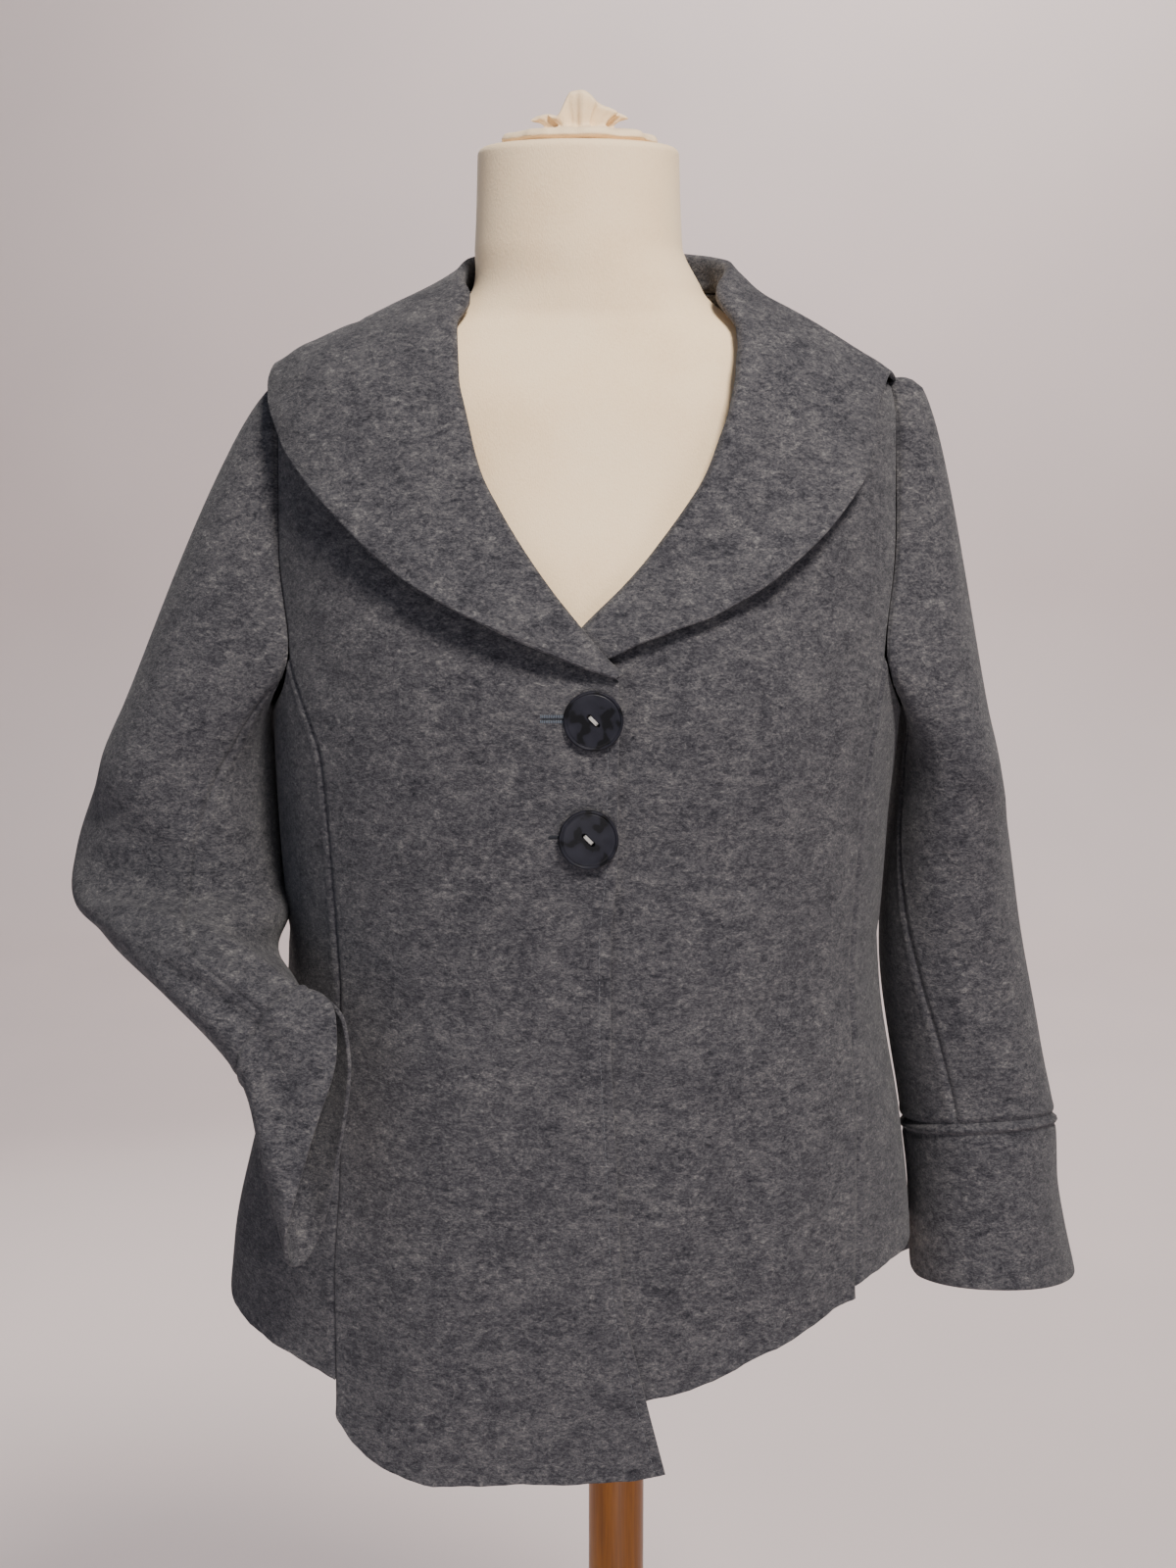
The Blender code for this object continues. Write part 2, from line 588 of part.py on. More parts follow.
def sleeve_surface(side, around, rows):
    """Points of sleeve and cuff: a ring angle and a row, from 0 at the armhole, for every point."""
    around, rows = np.broadcast_arrays(np.asarray(around, float), np.asarray(rows, float))
    shape = around.shape
    around, rows = around.ravel(), rows.ravel()
    points = np.concatenate([armhole_ring(around, side)[None], rings(RINGS[side], around)])
    tangent = np.gradient(points, axis=0)
    tangent[0] = head_tangent(around, side)
    tangent[1] = tangent[1] * HEAD_EASE
    span = np.clip(np.floor(rows).astype(int), 0, len(points) - 2)
    each = np.arange(len(rows))
    t = np.clip(rows - span, 0, 1)[:, None]
    point = (points[span, each] * (2 * t**3 - 3 * t**2 + 1) + tangent[span, each] * (t**3 - 2 * t**2 + t)
             + points[span + 1, each] * (3 * t**2 - 2 * t**3) + tangent[span + 1, each] * (t**3 - t**2))
    if side == "left":
        after_slit = (around % 360 - CUFF_SLIT_ANGLE) % 360
        below = ramp(CUFF_ROW[side] + 1.15, CUFF_ROW[side] + CUFF_ROWS, rows)
        point[:, 0] -= FLAP_SPREAD * ramp(75, 0, after_slit) * below
    return point.reshape(shape + (3,))


def sleeve_normal(side, around, rows):
    """Outward unit normals of sleeve and cuff, from the surface's own slopes."""
    last = CUFF_ROW[side] + CUFF_ROWS
    across = sleeve_surface(side, around + 0.5, rows) - sleeve_surface(side, around - 0.5, rows)
    down = (sleeve_surface(side, around, np.minimum(rows + 0.03, last))
            - sleeve_surface(side, around, np.maximum(rows - 0.03, 0)))
    normal = unit(np.cross(across, down))
    return normal if side == "left" else -normal


def on_sleeve(name, side, around, rows):
    """A cloth piece on the surface of a sleeve, its rows turned to run up and round the same way."""
    middle = sleeve_surface(side, around, rows)
    normal = sleeve_normal(side, around, rows)
    if side == "left":
        middle, normal = middle[:, ::-1], normal[:, ::-1]
    cloth(name, middle[::-1], normal[::-1])


def seam_column(side, rows):
    """Ring angle of the sleeve's front seam at rows along the sleeve."""
    angles = np.append(ARMHOLE_SEAM, RINGS[side]["seam"])
    return smooth(np.arange(len(angles), dtype=float), angles, rows)


def strip(side, start, stop, count, rows):
    """Ring angles between two seams at every row, drawn back by half the seam gap at both."""
    across = [sleeve_surface(side, edge + 0.5, rows) - sleeve_surface(side, edge - 0.5, rows)
              for edge in (start, stop)]
    first, last = [HALF_GAP / np.linalg.norm(step, axis=-1) for step in across]
    share = np.linspace(0, 1, count)
    return (start + first)[:, None] * (1 - share) + (stop - last)[:, None] * share


def sleeves():
    """Upper and under sleeve of both arms, parted along the front seam and the back seam."""
    for side in ("right", "left"):
        end = CUFF_ROW[side]
        rows = np.concatenate([np.linspace(0, 1, 6, endpoint=False), np.linspace(1, end - ROW_GAP, 2 * end - 1)])
        seam = seam_column(side, rows)
        back = np.full(rows.shape, BACK_SLEEVE_SEAM)
        on_sleeve(side + "_upper_sleeve", side, strip(side, back - 360, seam, 19, rows), rows[:, None])
        on_sleeve(side + "_under_sleeve", side, strip(side, seam, back, 8, rows), rows[:, None])


def cuffs():
    """Flared strips sewn to the sleeves, open at the slit, with rounded corners."""
    for side in ("right", "left"):
        around = CUFF_SLIT_ANGLE + np.linspace(1.0, 359.0, 29)
        start = CUFF_ROW[side] + ROW_GAP
        end = CUFF_ROW[side] + CUFF_ROWS
        rim = sleeve_surface(side, around, end)
        along = np.append(0, np.cumsum(np.linalg.norm(np.diff(rim, axis=0), axis=1)))
        to_slit = np.minimum(along, along[-1] - along)
        near = np.clip(1 - to_slit / CUFF_CORNER, 0, 1)
        rounded = CUFF_CORNER * (1 - np.sqrt(1 - near ** 2))
        depth = np.linalg.norm(rim - sleeve_surface(side, around, start), axis=1)
        last = end - CUFF_ROWS * CUFF_CORNER_DEPTH * rounded / depth
        rows = start + (last - start) * np.linspace(0, 1, 7)[:, None]
        on_sleeve(side + "_cuff", side, np.tile(around, (7, 1)), rows)


def grid_normal(middle):
    """Unit normals of a grid, from the differences between its neighbours."""
    return unit(np.cross(np.gradient(middle, axis=1), np.gradient(middle, axis=0)))


def cloth(name, middle, normal=None):
    """A wall of the cloth's thickness round a grid of middle points; rows run up, columns leftwards."""
    rows, columns = middle.shape[:2]
    normal = grid_normal(middle) if normal is None else normal
    outer = (middle + normal * WALL / 2).reshape(-1, 3)
    inner = (middle - normal * WALL / 2).reshape(-1, 3)
    index = np.arange(rows * columns).reshape(rows, columns)
    faces = quads(index)
    other = index + rows * columns
    faces = np.concatenate([faces, quads(other)[:, ::-1]])
    border = np.concatenate([index[0], index[1:, -1], index[-1, -2::-1], index[-2:0:-1, 0]])
    after = np.roll(border, -1)
    rim = np.stack([border, border + rows * columns, after + rows * columns, after], axis=1)
    return add(name, np.concatenate([outer, inner]), np.concatenate([faces, rim]).tolist(), WOOL)


def quads(index):
    """Four-sided faces of a grid of point numbers."""
    corners = [index[:-1, :-1], index[:-1, 1:], index[1:, 1:], index[1:, :-1]]
    return np.stack([corner.ravel() for corner in corners], axis=1)


def closed_rings(name, points, finish):
    """A solid skinned over rings that close round, from the lowest to the highest, with flat ends."""
    rows, columns = points.shape[:2]
    index = np.arange(rows * columns).reshape(rows, columns)
    wrapped = np.concatenate([index, index[:, :1]], axis=1)
    faces = quads(wrapped).tolist()
    faces.append(index[0, ::-1].tolist())
    faces.append(index[-1].tolist())
    return add(name, points.reshape(-1, 3), faces, finish)


def form_size(name, height):
    """One size of the dress form's section, held just inside the jacket where the jacket rests on it."""
    own = column(FORM, name, height)
    if name == "square":
        return own
    near = column(BODY, name, height)
    slope = (column(BODY, name, height + 0.001) - near) / 0.001
    return np.minimum(own, near - (WALL / 2 + FORM_CLEARANCE) * np.sqrt(1 + slope ** 2))


def form_point(angle, height):
    """Surface of the dress form."""
    x, y = oval(angle, *(form_size(name, height) for name in OVAL_COLUMNS))
    x = x + column(FORM, "sway", height)
    return np.stack([x + CENTRE_X, y, height - shoulder_drop(x, height)], axis=-1)


def form():
    """Smooth limbless torso and neck, with a rounded lower edge and a flat top."""
    angle = np.linspace(0, 360, 40, endpoint=False)
    heights = spread([FORM_BOTTOM + 0.02, 1.30, 1.357, 1.425, FORM_TOP], [8, 2, 6, 3])
    grid = form_point(angle[None, :], heights[:, None] * np.ones((1, len(angle))))
    middle = grid[0].mean(axis=0)
    lower = []
    for turn in np.radians([90, 60, 30]):
        inset = 0.020 * (1 - math.cos(turn)) / np.linalg.norm(grid[0] - middle, axis=1)[:, None]
        ring = grid[0] + (middle - grid[0]) * inset
        ring[:, 2] = FORM_BOTTOM + 0.02 * (1 - math.sin(turn))
        lower.append(ring)
    closed_rings("form", np.concatenate([np.array(lower), grid]), COVER)


def crest(across):
    """Share of the fan's height at a distance to the left of its middle: steep to the right, with a low stub."""
    return smooth(np.array([-0.031, -0.021, -0.014, -0.005, 0.002, 0.012, 0.022, 0.031]),
                  np.array([0.05, 0.22, 0.18, 0.90, 1.00, 0.62, 0.36, 0.15]), across)


def neck_gather():
    """The cover's gathered end on the neck: a low pleated disc with a flat fan of cloth that stands up."""
    profile = table("radius height pleat flat peak", [
        (0.0450, 0.0000, 0.0000, 1.00, 0.0),
        (0.0490, 0.0030, 0.0008, 1.00, 0.0),
        (0.0460, 0.0068, 0.0016, 1.00, 0.0),
        (0.0360, 0.0086, 0.0022, 0.95, 0.0),
        (0.0240, 0.0102, 0.0024, 0.80, 0.0),
        (0.0190, 0.0122, 0.0020, 0.62, 0.0010),
        (0.0230, 0.0136, 0.0020, 0.50, 0.0090),
        (0.0285, 0.0150, 0.0020, 0.40, 0.0180),
        (0.0260, 0.0160, 0.0014, 0.30, 0.0190),
        (0.0120, 0.0156, 0.0006, 0.26, 0.0170),
    ])
    angle = np.linspace(0, 2 * math.pi, 36, endpoint=False)
    pleats = np.cos(9 * angle) + 0.35 * np.cos(5 * angle + 0.7)
    radius = profile["radius"][:, None] + profile["pleat"][:, None] * pleats
    across = radius * np.cos(angle)
    rise = profile["height"][:, None] + profile["peak"][:, None] * crest(across)
    top = form_point(np.array([0.0, 180.0]), np.array([FORM_TOP, FORM_TOP])).mean(axis=0)
    points = np.stack([
        top[0] + across,
        top[1] + radius * profile["flat"][:, None] * np.sin(angle),
        top[2] + SEAM_GAP + rise], axis=-1)
    closed_rings("neck_gather", points, COVER)


def turned(name, profile, steps, finish):
    """A turned solid: the profile runs down the outer side at +X, from axis to axis."""
    mesh = bpy.data.meshes.new(name)
    mesh.from_pydata([(r, 0, z) for r, z in profile], [(i, i + 1) for i in range(len(profile) - 1)], [])
    item = place(name, mesh, finish)
    screw = item.modifiers.new("turn", "SCREW")
    screw.angle = 2 * math.pi
    screw.steps = steps
    screw.render_steps = steps
    screw.use_merge_vertices = True
    screw.merge_threshold = 0.00001
    return item


def pole_and_base():
    """Round pole between the form and a plain turned foot."""
    turned("pole", [
        (0, FORM_BOTTOM - SEAM_GAP),
        (POLE_RADIUS, FORM_BOTTOM - SEAM_GAP),
        (POLE_RADIUS, BASE_BOSS_TOP + SEAM_GAP),
        (0, BASE_BOSS_TOP + SEAM_GAP)], 32, WOOD)
    slope = [(0.060, 0.034), (0.100, 0.025), (0.150, 0.018)]
    turned("base", [
        (0, BASE_BOSS_TOP),
        (BASE_BOSS_RADIUS - 0.004, BASE_BOSS_TOP),
        (BASE_BOSS_RADIUS, BASE_BOSS_TOP - 0.004),
        (BASE_BOSS_RADIUS + 0.004, 0.041),
        *slope,
        (BASE_RADIUS - 0.004, BASE_EDGE),
        (BASE_RADIUS, BASE_EDGE - 0.004),
        (BASE_RADIUS, 0.003),
        (BASE_RADIUS - 0.003, 0),
        (0, 0)], 40, WOOD)


def buttons():
    """Two large round buttons with a raised rim and two holes, seated on the right front."""
    half = BUTTON_THICKNESS / 2
    dish = [(0, half * 0.35), (BUTTON_RADIUS * 0.70, half * 0.45), (BUTTON_RADIUS * 0.84, half),
            (BUTTON_RADIUS * 0.94, half * 0.9), (BUTTON_RADIUS, half * 0.2), (BUTTON_RADIUS, -half * 0.4),
            (BUTTON_RADIUS * 0.92, -half), (0, -half)]
    for name, (across, height, lift) in BUTTON_SPOTS.items():
        item = turned(name, dish, 28, HORN)
        angle = front_angle(np.array([across]), np.array([height]))
        normal = outward(angle, np.array([height]))[0]
        seat = on_body(angle, np.array([height]), np.array([WALL / 2 + lift + half]))[0]
        item.location = seat
        tilt = math.atan2(math.hypot(normal[0], normal[1]), normal[2])
        item.rotation_euler = (tilt, 0, math.atan2(normal[0], -normal[1]))
        for number, turn in enumerate((0, math.pi)):
            spot = [BUTTON_HOLE_OFFSET * math.cos(BUTTON_HOLE_TURN + turn),
                    BUTTON_HOLE_OFFSET * math.sin(BUTTON_HOLE_TURN + turn), 0]
            hole = cutter(f"{name}_hole_{number}", BUTTON_HOLE_RADIUS, 4 * BUTTON_THICKNESS)
            hole.parent = item
            hole.location = spot
            cut = item.modifiers.new(f"hole_{number}", "BOOLEAN")
            cut.operation = "DIFFERENCE"
            cut.solver = "EXACT"
            cut.object = hole


def cutter(name, radius, length):
    """A plain drill for a hole, kept out of the model."""
    shape = bmesh.new()
    bmesh.ops.create_cone(shape, cap_ends=True, segments=12, radius1=radius, radius2=radius, depth=length)
    mesh = bpy.data.meshes.new(name)
    shape.to_mesh(mesh)
    shape.free()
    item = bpy.data.objects.new(name, mesh)
    CUTTERS.objects.link(item)
    item.hide_render = True
    item.display_type = "WIRE"
    return item


def add(name, points, faces, finish):
    """An object from points and faces, shaded smooth but for its sharp edges."""
    mesh = bpy.data.meshes.new(name)
    mesh.from_pydata(np.asarray(points).tolist(), [], faces)
    mesh.validate()
    mesh.shade_smooth()
    mesh.set_sharp_from_angle(angle=math.radians(40))
    return place(name, mesh, finish)


def place(name, mesh, finish):
    """Put a mesh in the jacket's collection with its own material."""
    label, colour, roughness = finish
    material = bpy.data.materials.new(f"{label}_{name}")
    material.use_nodes = True
    shader = material.node_tree.nodes["Principled BSDF"]
    shader.inputs["Base Color"].default_value = (*colour, 1)
    shader.inputs["Roughness"].default_value = roughness
    shader.inputs["Metallic"].default_value = 0.0
    mesh.materials.append(material)
    item = bpy.data.objects.new(name, mesh)
    PIECES.objects.link(item)
    return item


def collection(name):
    made = bpy.data.collections.new(name)
    bpy.context.scene.collection.children.link(made)
    return made


for old in list(bpy.data.objects):
    bpy.data.objects.remove(old, do_unlink=True)
PIECES = collection("shawl_collar_jacket")
CUTTERS = collection("cutters")

fronts()
side_panels()
back_panel()
collar()
sleeves()
cuffs()
buttons()
form()
neck_gather()
pole_and_base()
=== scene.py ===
# %% [markdown]
# Shawl collar jacket in boiled wool on a dress form
#
# The real jacket is one layer of thick felted wool, cut in big plain pieces and sewn with raw edges.
# It could be modelled as one shell, but a maker cuts and sews pieces, so each piece is its own wall here.
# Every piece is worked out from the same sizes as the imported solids, only finer, so it lies where its solid does.

# %% Load the frame
import math

import bpy
import numpy as np
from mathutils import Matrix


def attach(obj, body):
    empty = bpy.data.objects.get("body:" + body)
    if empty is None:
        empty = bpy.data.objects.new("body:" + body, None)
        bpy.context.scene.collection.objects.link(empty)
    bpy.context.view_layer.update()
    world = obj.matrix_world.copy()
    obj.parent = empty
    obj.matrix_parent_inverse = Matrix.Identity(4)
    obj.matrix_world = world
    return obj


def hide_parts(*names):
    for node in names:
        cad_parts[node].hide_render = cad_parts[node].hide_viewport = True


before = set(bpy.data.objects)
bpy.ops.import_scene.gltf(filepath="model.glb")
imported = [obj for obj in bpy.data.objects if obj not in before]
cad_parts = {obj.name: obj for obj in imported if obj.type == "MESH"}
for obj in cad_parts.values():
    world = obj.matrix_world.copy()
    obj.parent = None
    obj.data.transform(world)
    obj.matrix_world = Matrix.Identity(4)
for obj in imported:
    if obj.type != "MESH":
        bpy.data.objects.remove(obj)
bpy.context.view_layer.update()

# %% [markdown]
# Sizes first. Heights are above the floor, and angles go round the body from the centre front towards
# the wearer's left side. Short tables keep one row for each section, so a size is easy to find and change.

# %% Sizes of the cloth and of the body's sections
WALL = 0.0025
SEAM_GAP = 0.0003
CENTRE_X = -0.020
HALF_GAP = SEAM_GAP / 2 + 0.00005

BREAK_HEIGHT = 1.1765
SHOULDER_HEIGHT = 1.357
NECK_HEIGHT = 1.4015
SIDE_LEVEL = 0.86

TUCK_DEEP = 0.0076
TUCK_PLAIN = 0.0040
TUCK_CHANGE = (1.11, 1.15)
TUCK_ENDS = (0.007, 0.047)
TUCK_REACH = 60
COLLAR_FOLD = 0.0055
COLLAR_FOLD_TUCKED = 0.0042
LEFT_SHOULDER_DROP = 0.006
DROP_ACROSS = (0.125, 0.185)
DROP_FROM = 1.27
SHOULDER_ANGLE = 90.0
CUFF_SLIT_ANGLE = 176.0
CUFF_CORNER = 0.030
CUFF_CORNER_DEPTH = 0.8
FLAP_SPREAD = 0.009


def table(columns, rows):
    """Rows of numbers under named columns, as one array for each column."""
    names = columns.split()
    return {name: np.array([row[i] for row in rows], float) for i, name in enumerate(names)}


OVAL_COLUMNS = ("half_width", "front_depth", "back_depth", "square")

BODY = table("height half_width front_depth back_depth sway square", [
    (0.660, 0.2310, 0.168, 0.158, -0.0120, 2.3),
    (0.800, 0.2230, 0.166, 0.152, -0.0090, 2.3),
    (0.880, 0.2110, 0.162, 0.140, -0.0050, 2.3),
    (0.990, 0.1930, 0.157, 0.126, -0.0025, 2.3),
    (1.070, 0.1975, 0.155, 0.124, -0.0025, 2.3),
    (1.150, 0.2025, 0.152, 0.126, -0.0005, 2.3),
    (1.230, 0.2030, 0.134, 0.127, 0.0, 2.3),
    (1.290, 0.2000, 0.113, 0.122, 0.0, 2.3),
    (1.335, 0.1970, 0.092, 0.108, 0.0, 2.25),
    (1.357, 0.1935, 0.078, 0.096, 0.0, 2.2),
    (1.370, 0.1720, 0.070, 0.086, 0.0, 2.15),
    (1.384, 0.1380, 0.062, 0.077, 0.0, 2.1),
    (1.398, 0.1020, 0.057, 0.070, 0.002, 2.0),
    (1.412, 0.0840, 0.055, 0.064, 0.004, 2.0),
    (1.460, 0.0855, 0.058, 0.062, 0.005, 2.0),
])

FORM = table("height half_width front_depth back_depth square sway", [
    (0.800, 0.168, 0.120, 0.125, 2.2, 0.0),
    (0.880, 0.160, 0.118, 0.118, 2.2, 0.0),
    (0.980, 0.128, 0.104, 0.090, 2.2, 0.0),
    (1.060, 0.140, 0.124, 0.098, 2.2, 0.0),
    (1.140, 0.158, 0.140, 0.108, 2.2, 0.0),
    (1.220, 0.166, 0.120, 0.114, 2.2, 0.0),
    (1.290, 0.172, 0.090, 0.108, 2.2, 0.0),
    (1.340, 0.176, 0.074, 0.092, 2.2, 0.0),
    (1.370, 0.170, 0.060, 0.080, 2.1, 0.0),
    (1.384, 0.130, 0.054, 0.070, 2.0, 0.0),
    (1.398, 0.088, 0.050, 0.060, 2.0, 0.0),
    (1.412, 0.0735, 0.050, 0.057, 2.0, 0.0),
    (1.440, 0.0660, 0.052, 0.056, 2.0, -0.0055),
    (1.500, 0.0636, 0.054, 0.057, 2.0, -0.0056),
])

FOLDS = table("angle width depth top bottom", [
    (20.0, 11.0, -0.0045, 1.02, 0.74),
    (70.0, 10.0, 0.0040, 0.95, 0.82),
    (150.0, 13.0, 0.0060, 0.98, 0.76),
    (180.0, 12.0, -0.0050, 0.98, 0.76),
    (212.0, 13.0, 0.0065, 0.98, 0.76),
    (288.0, 10.0, 0.0050, 0.95, 0.80),
    (318.0, 9.0, -0.0040, 1.00, 0.74),
    (338.0, 9.0, 0.0035, 1.00, 0.72),
])

print("sections of the body and the form", len(BODY["height"]), len(FORM["height"]))

# %% [markdown]
# A maker cuts the body into two fronts, two side panels and a back. A border could be drawn as a free curve, but
# here it is an angle at a height, so two neighbours share one seam and can't drift apart. Hems are given by the
# share of a panel's width, and the two fronts end at different heights as the photograph shows.

# %% Borders of the panels
FRONT_SEAM = table("height right left", [
    (0.660, 36.0, 46.0),
    (0.850, 41.0, 52.0),
    (1.000, 49.0, 58.0),
    (1.110, 50.0, 58.0),
    (1.185, 64.0, 64.0),
])
BACK_SEAM = table("height angle", [
    (0.660, 120.0),
    (0.990, 116.0),
    (1.185, 112.0),
])

ARMHOLE = table("around angle height", [
    (0.0, 90.0, 1.357),
    (40.0, 80.0, 1.325),
    (80.0, 72.0, 1.255),
    (125.0, 64.0, 1.185),
    (155.0, 76.0, 1.156),
    (180.0, 90.0, 1.149),
    (210.0, 103.0, 1.158),
    (235.0, 112.0, 1.185),
    (280.0, 107.0, 1.255),
    (320.0, 99.0, 1.325),
    (360.0, 90.0, 1.357),
])
FRONT_CORNER = 125.0
BACK_CORNER = 235.0
FRONT_CORNER_HEIGHT, BACK_CORNER_HEIGHT = ARMHOLE["height"][[3, 7]]

RIGHT_EDGE = table("height across", [
    (0.660, 0.0500),
    (0.700, 0.0480),
    (0.740, 0.0370),
    (0.766, 0.0250),
    (0.850, 0.0200),
    (0.910, 0.0170),
    (1.000, 0.0140),
    (1.085, 0.0190),
    (1.180, 0.0190),
])
LEFT_EDGE = table("height across", [
    (0.660, -0.0260),
    (0.900, -0.0200),
    (1.180, -0.0180),
])

HEMS = {
    "right_front": table("share height", [(0.0, 0.688), (0.3, 0.684), (0.6, 0.682), (0.85, 0.692), (1.0, 0.716)]),
    "left_front": table("share height", [(0.0, 0.724), (0.35, 0.740), (0.65, 0.762), (0.9, 0.781), (1.0, 0.783)]),
    "right_side_panel": table("share height", [(0.0, 0.738), (0.35, 0.758), (0.7, 0.786), (1.0, 0.784)]),
    "left_side_panel": table("share height", [(0.0, 0.791), (0.35, 0.803), (0.7, 0.806), (1.0, 0.786)]),
    "back": table("share height", [(0.0, 0.782), (0.2, 0.748), (0.5, 0.722), (0.8, 0.748), (1.0, 0.780)]),
}

print("hems", {name: float(rows["height"].min()) for name, rows in HEMS.items()})

# %% [markdown]
# A shawl collar is known by two lines: the roll line where it turns over and its outer edge. The table follows
# both from the wearer's left tip round the neck to the right tip; it isn't mirrored, because the photograph's
# collar isn't. A turn of 0 is the left front, 1 the back and 2 the right front.

# %% Sizes of the collar
COLLAR = table("turn roll_x roll_height edge_x edge_height stand lift", [
    (0, -0.0180, 1.1800, -0.0150, 1.1775, 0.0010, 0.0),
    (0, -0.0080, 1.1970, 0.0080, 1.1880, 0.0060, 0.0020),
    (0, 0.0060, 1.2130, 0.0350, 1.1990, 0.0100, 0.0060),
    (0, 0.0240, 1.2310, 0.0700, 1.2110, 0.0120, 0.0075),
    (0, 0.0495, 1.2600, 0.1120, 1.2360, 0.0130, 0.0065),
    (0, 0.0735, 1.2940, 0.1490, 1.2720, 0.0140, 0.0040),
    (0, 0.0905, 1.3410, 0.1690, 1.3080, 0.0150, 0.0022),
    (0, 0.0940, 1.3620, 0.1720, 1.3230, 0.0165, 0.0020),
    (0, 0.0945, 1.3850, 0.1750, 1.3380, 0.0180, 0.0020),
    (0, 0.0900, 1.4250, 0.1860, 1.3590, 0.0260, 0.0025),
    (1, 0.0560, 1.4360, 0.1700, 1.3400, 0.0290, 0.0025),
    (1, 0.0300, 1.4400, 0.1000, 1.3030, 0.0300, 0.0022),
    (1, 0.0, 1.4410, 0.0, 1.2900, 0.0300, 0.0020),
    (1, -0.0300, 1.4400, -0.1000, 1.3030, 0.0300, 0.0020),
    (1, -0.0560, 1.4360, -0.1720, 1.3380, 0.0290, 0.0010),
    (2, -0.0790, 1.4190, -0.1970, 1.3590, 0.0260, 0.0045),
    (2, -0.0830, 1.3860, -0.1910, 1.3420, 0.0180, 0.0050),
    (2, -0.0820, 1.3640, -0.1865, 1.3295, 0.0165, 0.0060),
    (2, -0.0772, 1.3350, -0.1810, 1.3150, 0.0150, 0.0065),
    (2, -0.0652, 1.2940, -0.1520, 1.2760, 0.0140, 0.0070),
    (2, -0.0430, 1.2540, -0.1040, 1.2310, 0.0130, 0.0075),
    (2, -0.0098, 1.2090, -0.0480, 1.1990, 0.0100, 0.0070),
    (2, 0.0085, 1.1880, -0.0020, 1.1830, 0.0050, 0.0035),
    (2, 0.0190, 1.1790, 0.0165, 1.1776, 0.0010, 0.0),
])
COLLAR_RELEASE = 2.0
CHEST_RADIUS = 0.2
STAND_LIMIT = 0.5
STATIONS_PER_ROW = 2
LAST_ROW = len(COLLAR["turn"]) - 1
STATIONS = np.linspace(0, LAST_ROW, LAST_ROW * STATIONS_PER_ROW + 1)
SHOULDER_ROW = {"left": 9, "right": 15}

print("stations round the collar", len(STATIONS))

# %% [markdown]
# The right arm is bent, with its hand end turned in to the hip, and the left arm hangs. A sleeve could be bent by
# bones, but a few rings along each arm show its course better, and each can be set from one crop of the photograph.

# %% Sizes of the sleeves and cuffs
SLEEVE_HEAD = {
    "right": {"top": (0.100, 0.0, -0.050), "front": (0.075, 0.018, -0.030),
              "bottom": (0.012, 0.0, -0.040), "back": (0.075, -0.018, -0.030)},
    "left": {"top": (0.080, 0.0, 0.070), "front": (0.056, 0.018, -0.040),
             "bottom": (0.008, 0.0, -0.040), "back": (0.060, -0.018, -0.040)},
}

# Rings of each sleeve: the centre, the half axis to the outer side and the half axis to the front.
# A drop above 0 narrows the ring on its inner side, so that it is shaped like a drop.
RING_COLUMNS = "x y z outer_x outer_y outer_z front_x front_y front_z seam drop"
RIGHT_RINGS = table(RING_COLUMNS, [
    (-0.2548, 0.003, 1.128, -0.0482, 0.000, 0.014, 0.000, -0.074, 0.000, 122, 0.0),
    (-0.2620, -0.003, 1.082, -0.0580, 0.007, 0.012, -0.006, -0.068, -0.004, 110, 0.0),
    (-0.2690, -0.011, 1.043, -0.0670, 0.021, 0.009, -0.004, -0.058, 0.000, 106, 0.0),
    (-0.2640, -0.035, 1.019, -0.0670, 0.019, -0.001, -0.008, -0.054, 0.010, 106, 0.0),
    (-0.2490, -0.071, 1.002, -0.0480, 0.013, -0.003, -0.011, -0.054, 0.016, 106, 0.0),
    (-0.2210, -0.110, 0.9855, -0.0260, 0.002, -0.0145, -0.022, -0.044, 0.020, 106, 0.1),
    (-0.1880, -0.148, 0.961, -0.0160, -0.004, -0.027, -0.012, -0.032, 0.016, 106, 0.3),
    (-0.1700, -0.166, 0.934, -0.0170, -0.008, -0.050, -0.012, -0.024, 0.008, 106, 0.5),
    (-0.1560, -0.182, 0.900, -0.0160, -0.010, -0.067, -0.013, -0.017, 0.002, 106, 0.7),
])
LEFT_RINGS = table(RING_COLUMNS, [
    (0.2340, 0.006, 1.125, 0.0275, 0.000, 0.012, 0.000, -0.076, 0.000, 163, 0.0),
    (0.2380, 0.010, 1.060, 0.0370, 0.000, 0.008, 0.000, -0.070, 0.002, 154, 0.0),
    (0.2430, 0.010, 0.985, 0.0450, 0.000, 0.006, 0.000, -0.064, 0.006, 129, 0.0),
    (0.2535, 0.006, 0.920, 0.0475, 0.000, 0.004, 0.000, -0.060, 0.009, 117, 0.0),
    (0.2625, 0.000, 0.869, 0.0490, 0.000, 0.003, 0.000, -0.057, 0.011, 113, 0.0),
    (0.2670, -0.004, 0.820, 0.0490, 0.000, 0.001, -0.001, -0.060, 0.010, 113, 0.0),
    (0.2720, -0.008, 0.765, 0.0560, 0.000, -0.001, -0.004, -0.065, 0.007, 113, 0.0),
])
RINGS = {"right": RIGHT_RINGS, "left": LEFT_RINGS}
CUFF_ROW = {"right": 7, "left": 5}
CUFF_ROWS = 2
ROW_GAP = 0.006
HEAD_EASE = 0.8
HEAD_LIFT, HEAD_LIFT_ACROSS, HEAD_LIFT_UNDER, HEAD_LIFT_MOST = 0.0004, 0.0014, 0.0030, 0.0034
HEAD_OUT = 0.0012
ARMHOLE_SEAM = 140.0
BACK_SLEEVE_SEAM = 235.0
RING_SQUARE = 2.3
OUTSIDE = {"left": 1.0, "right": -1.0}

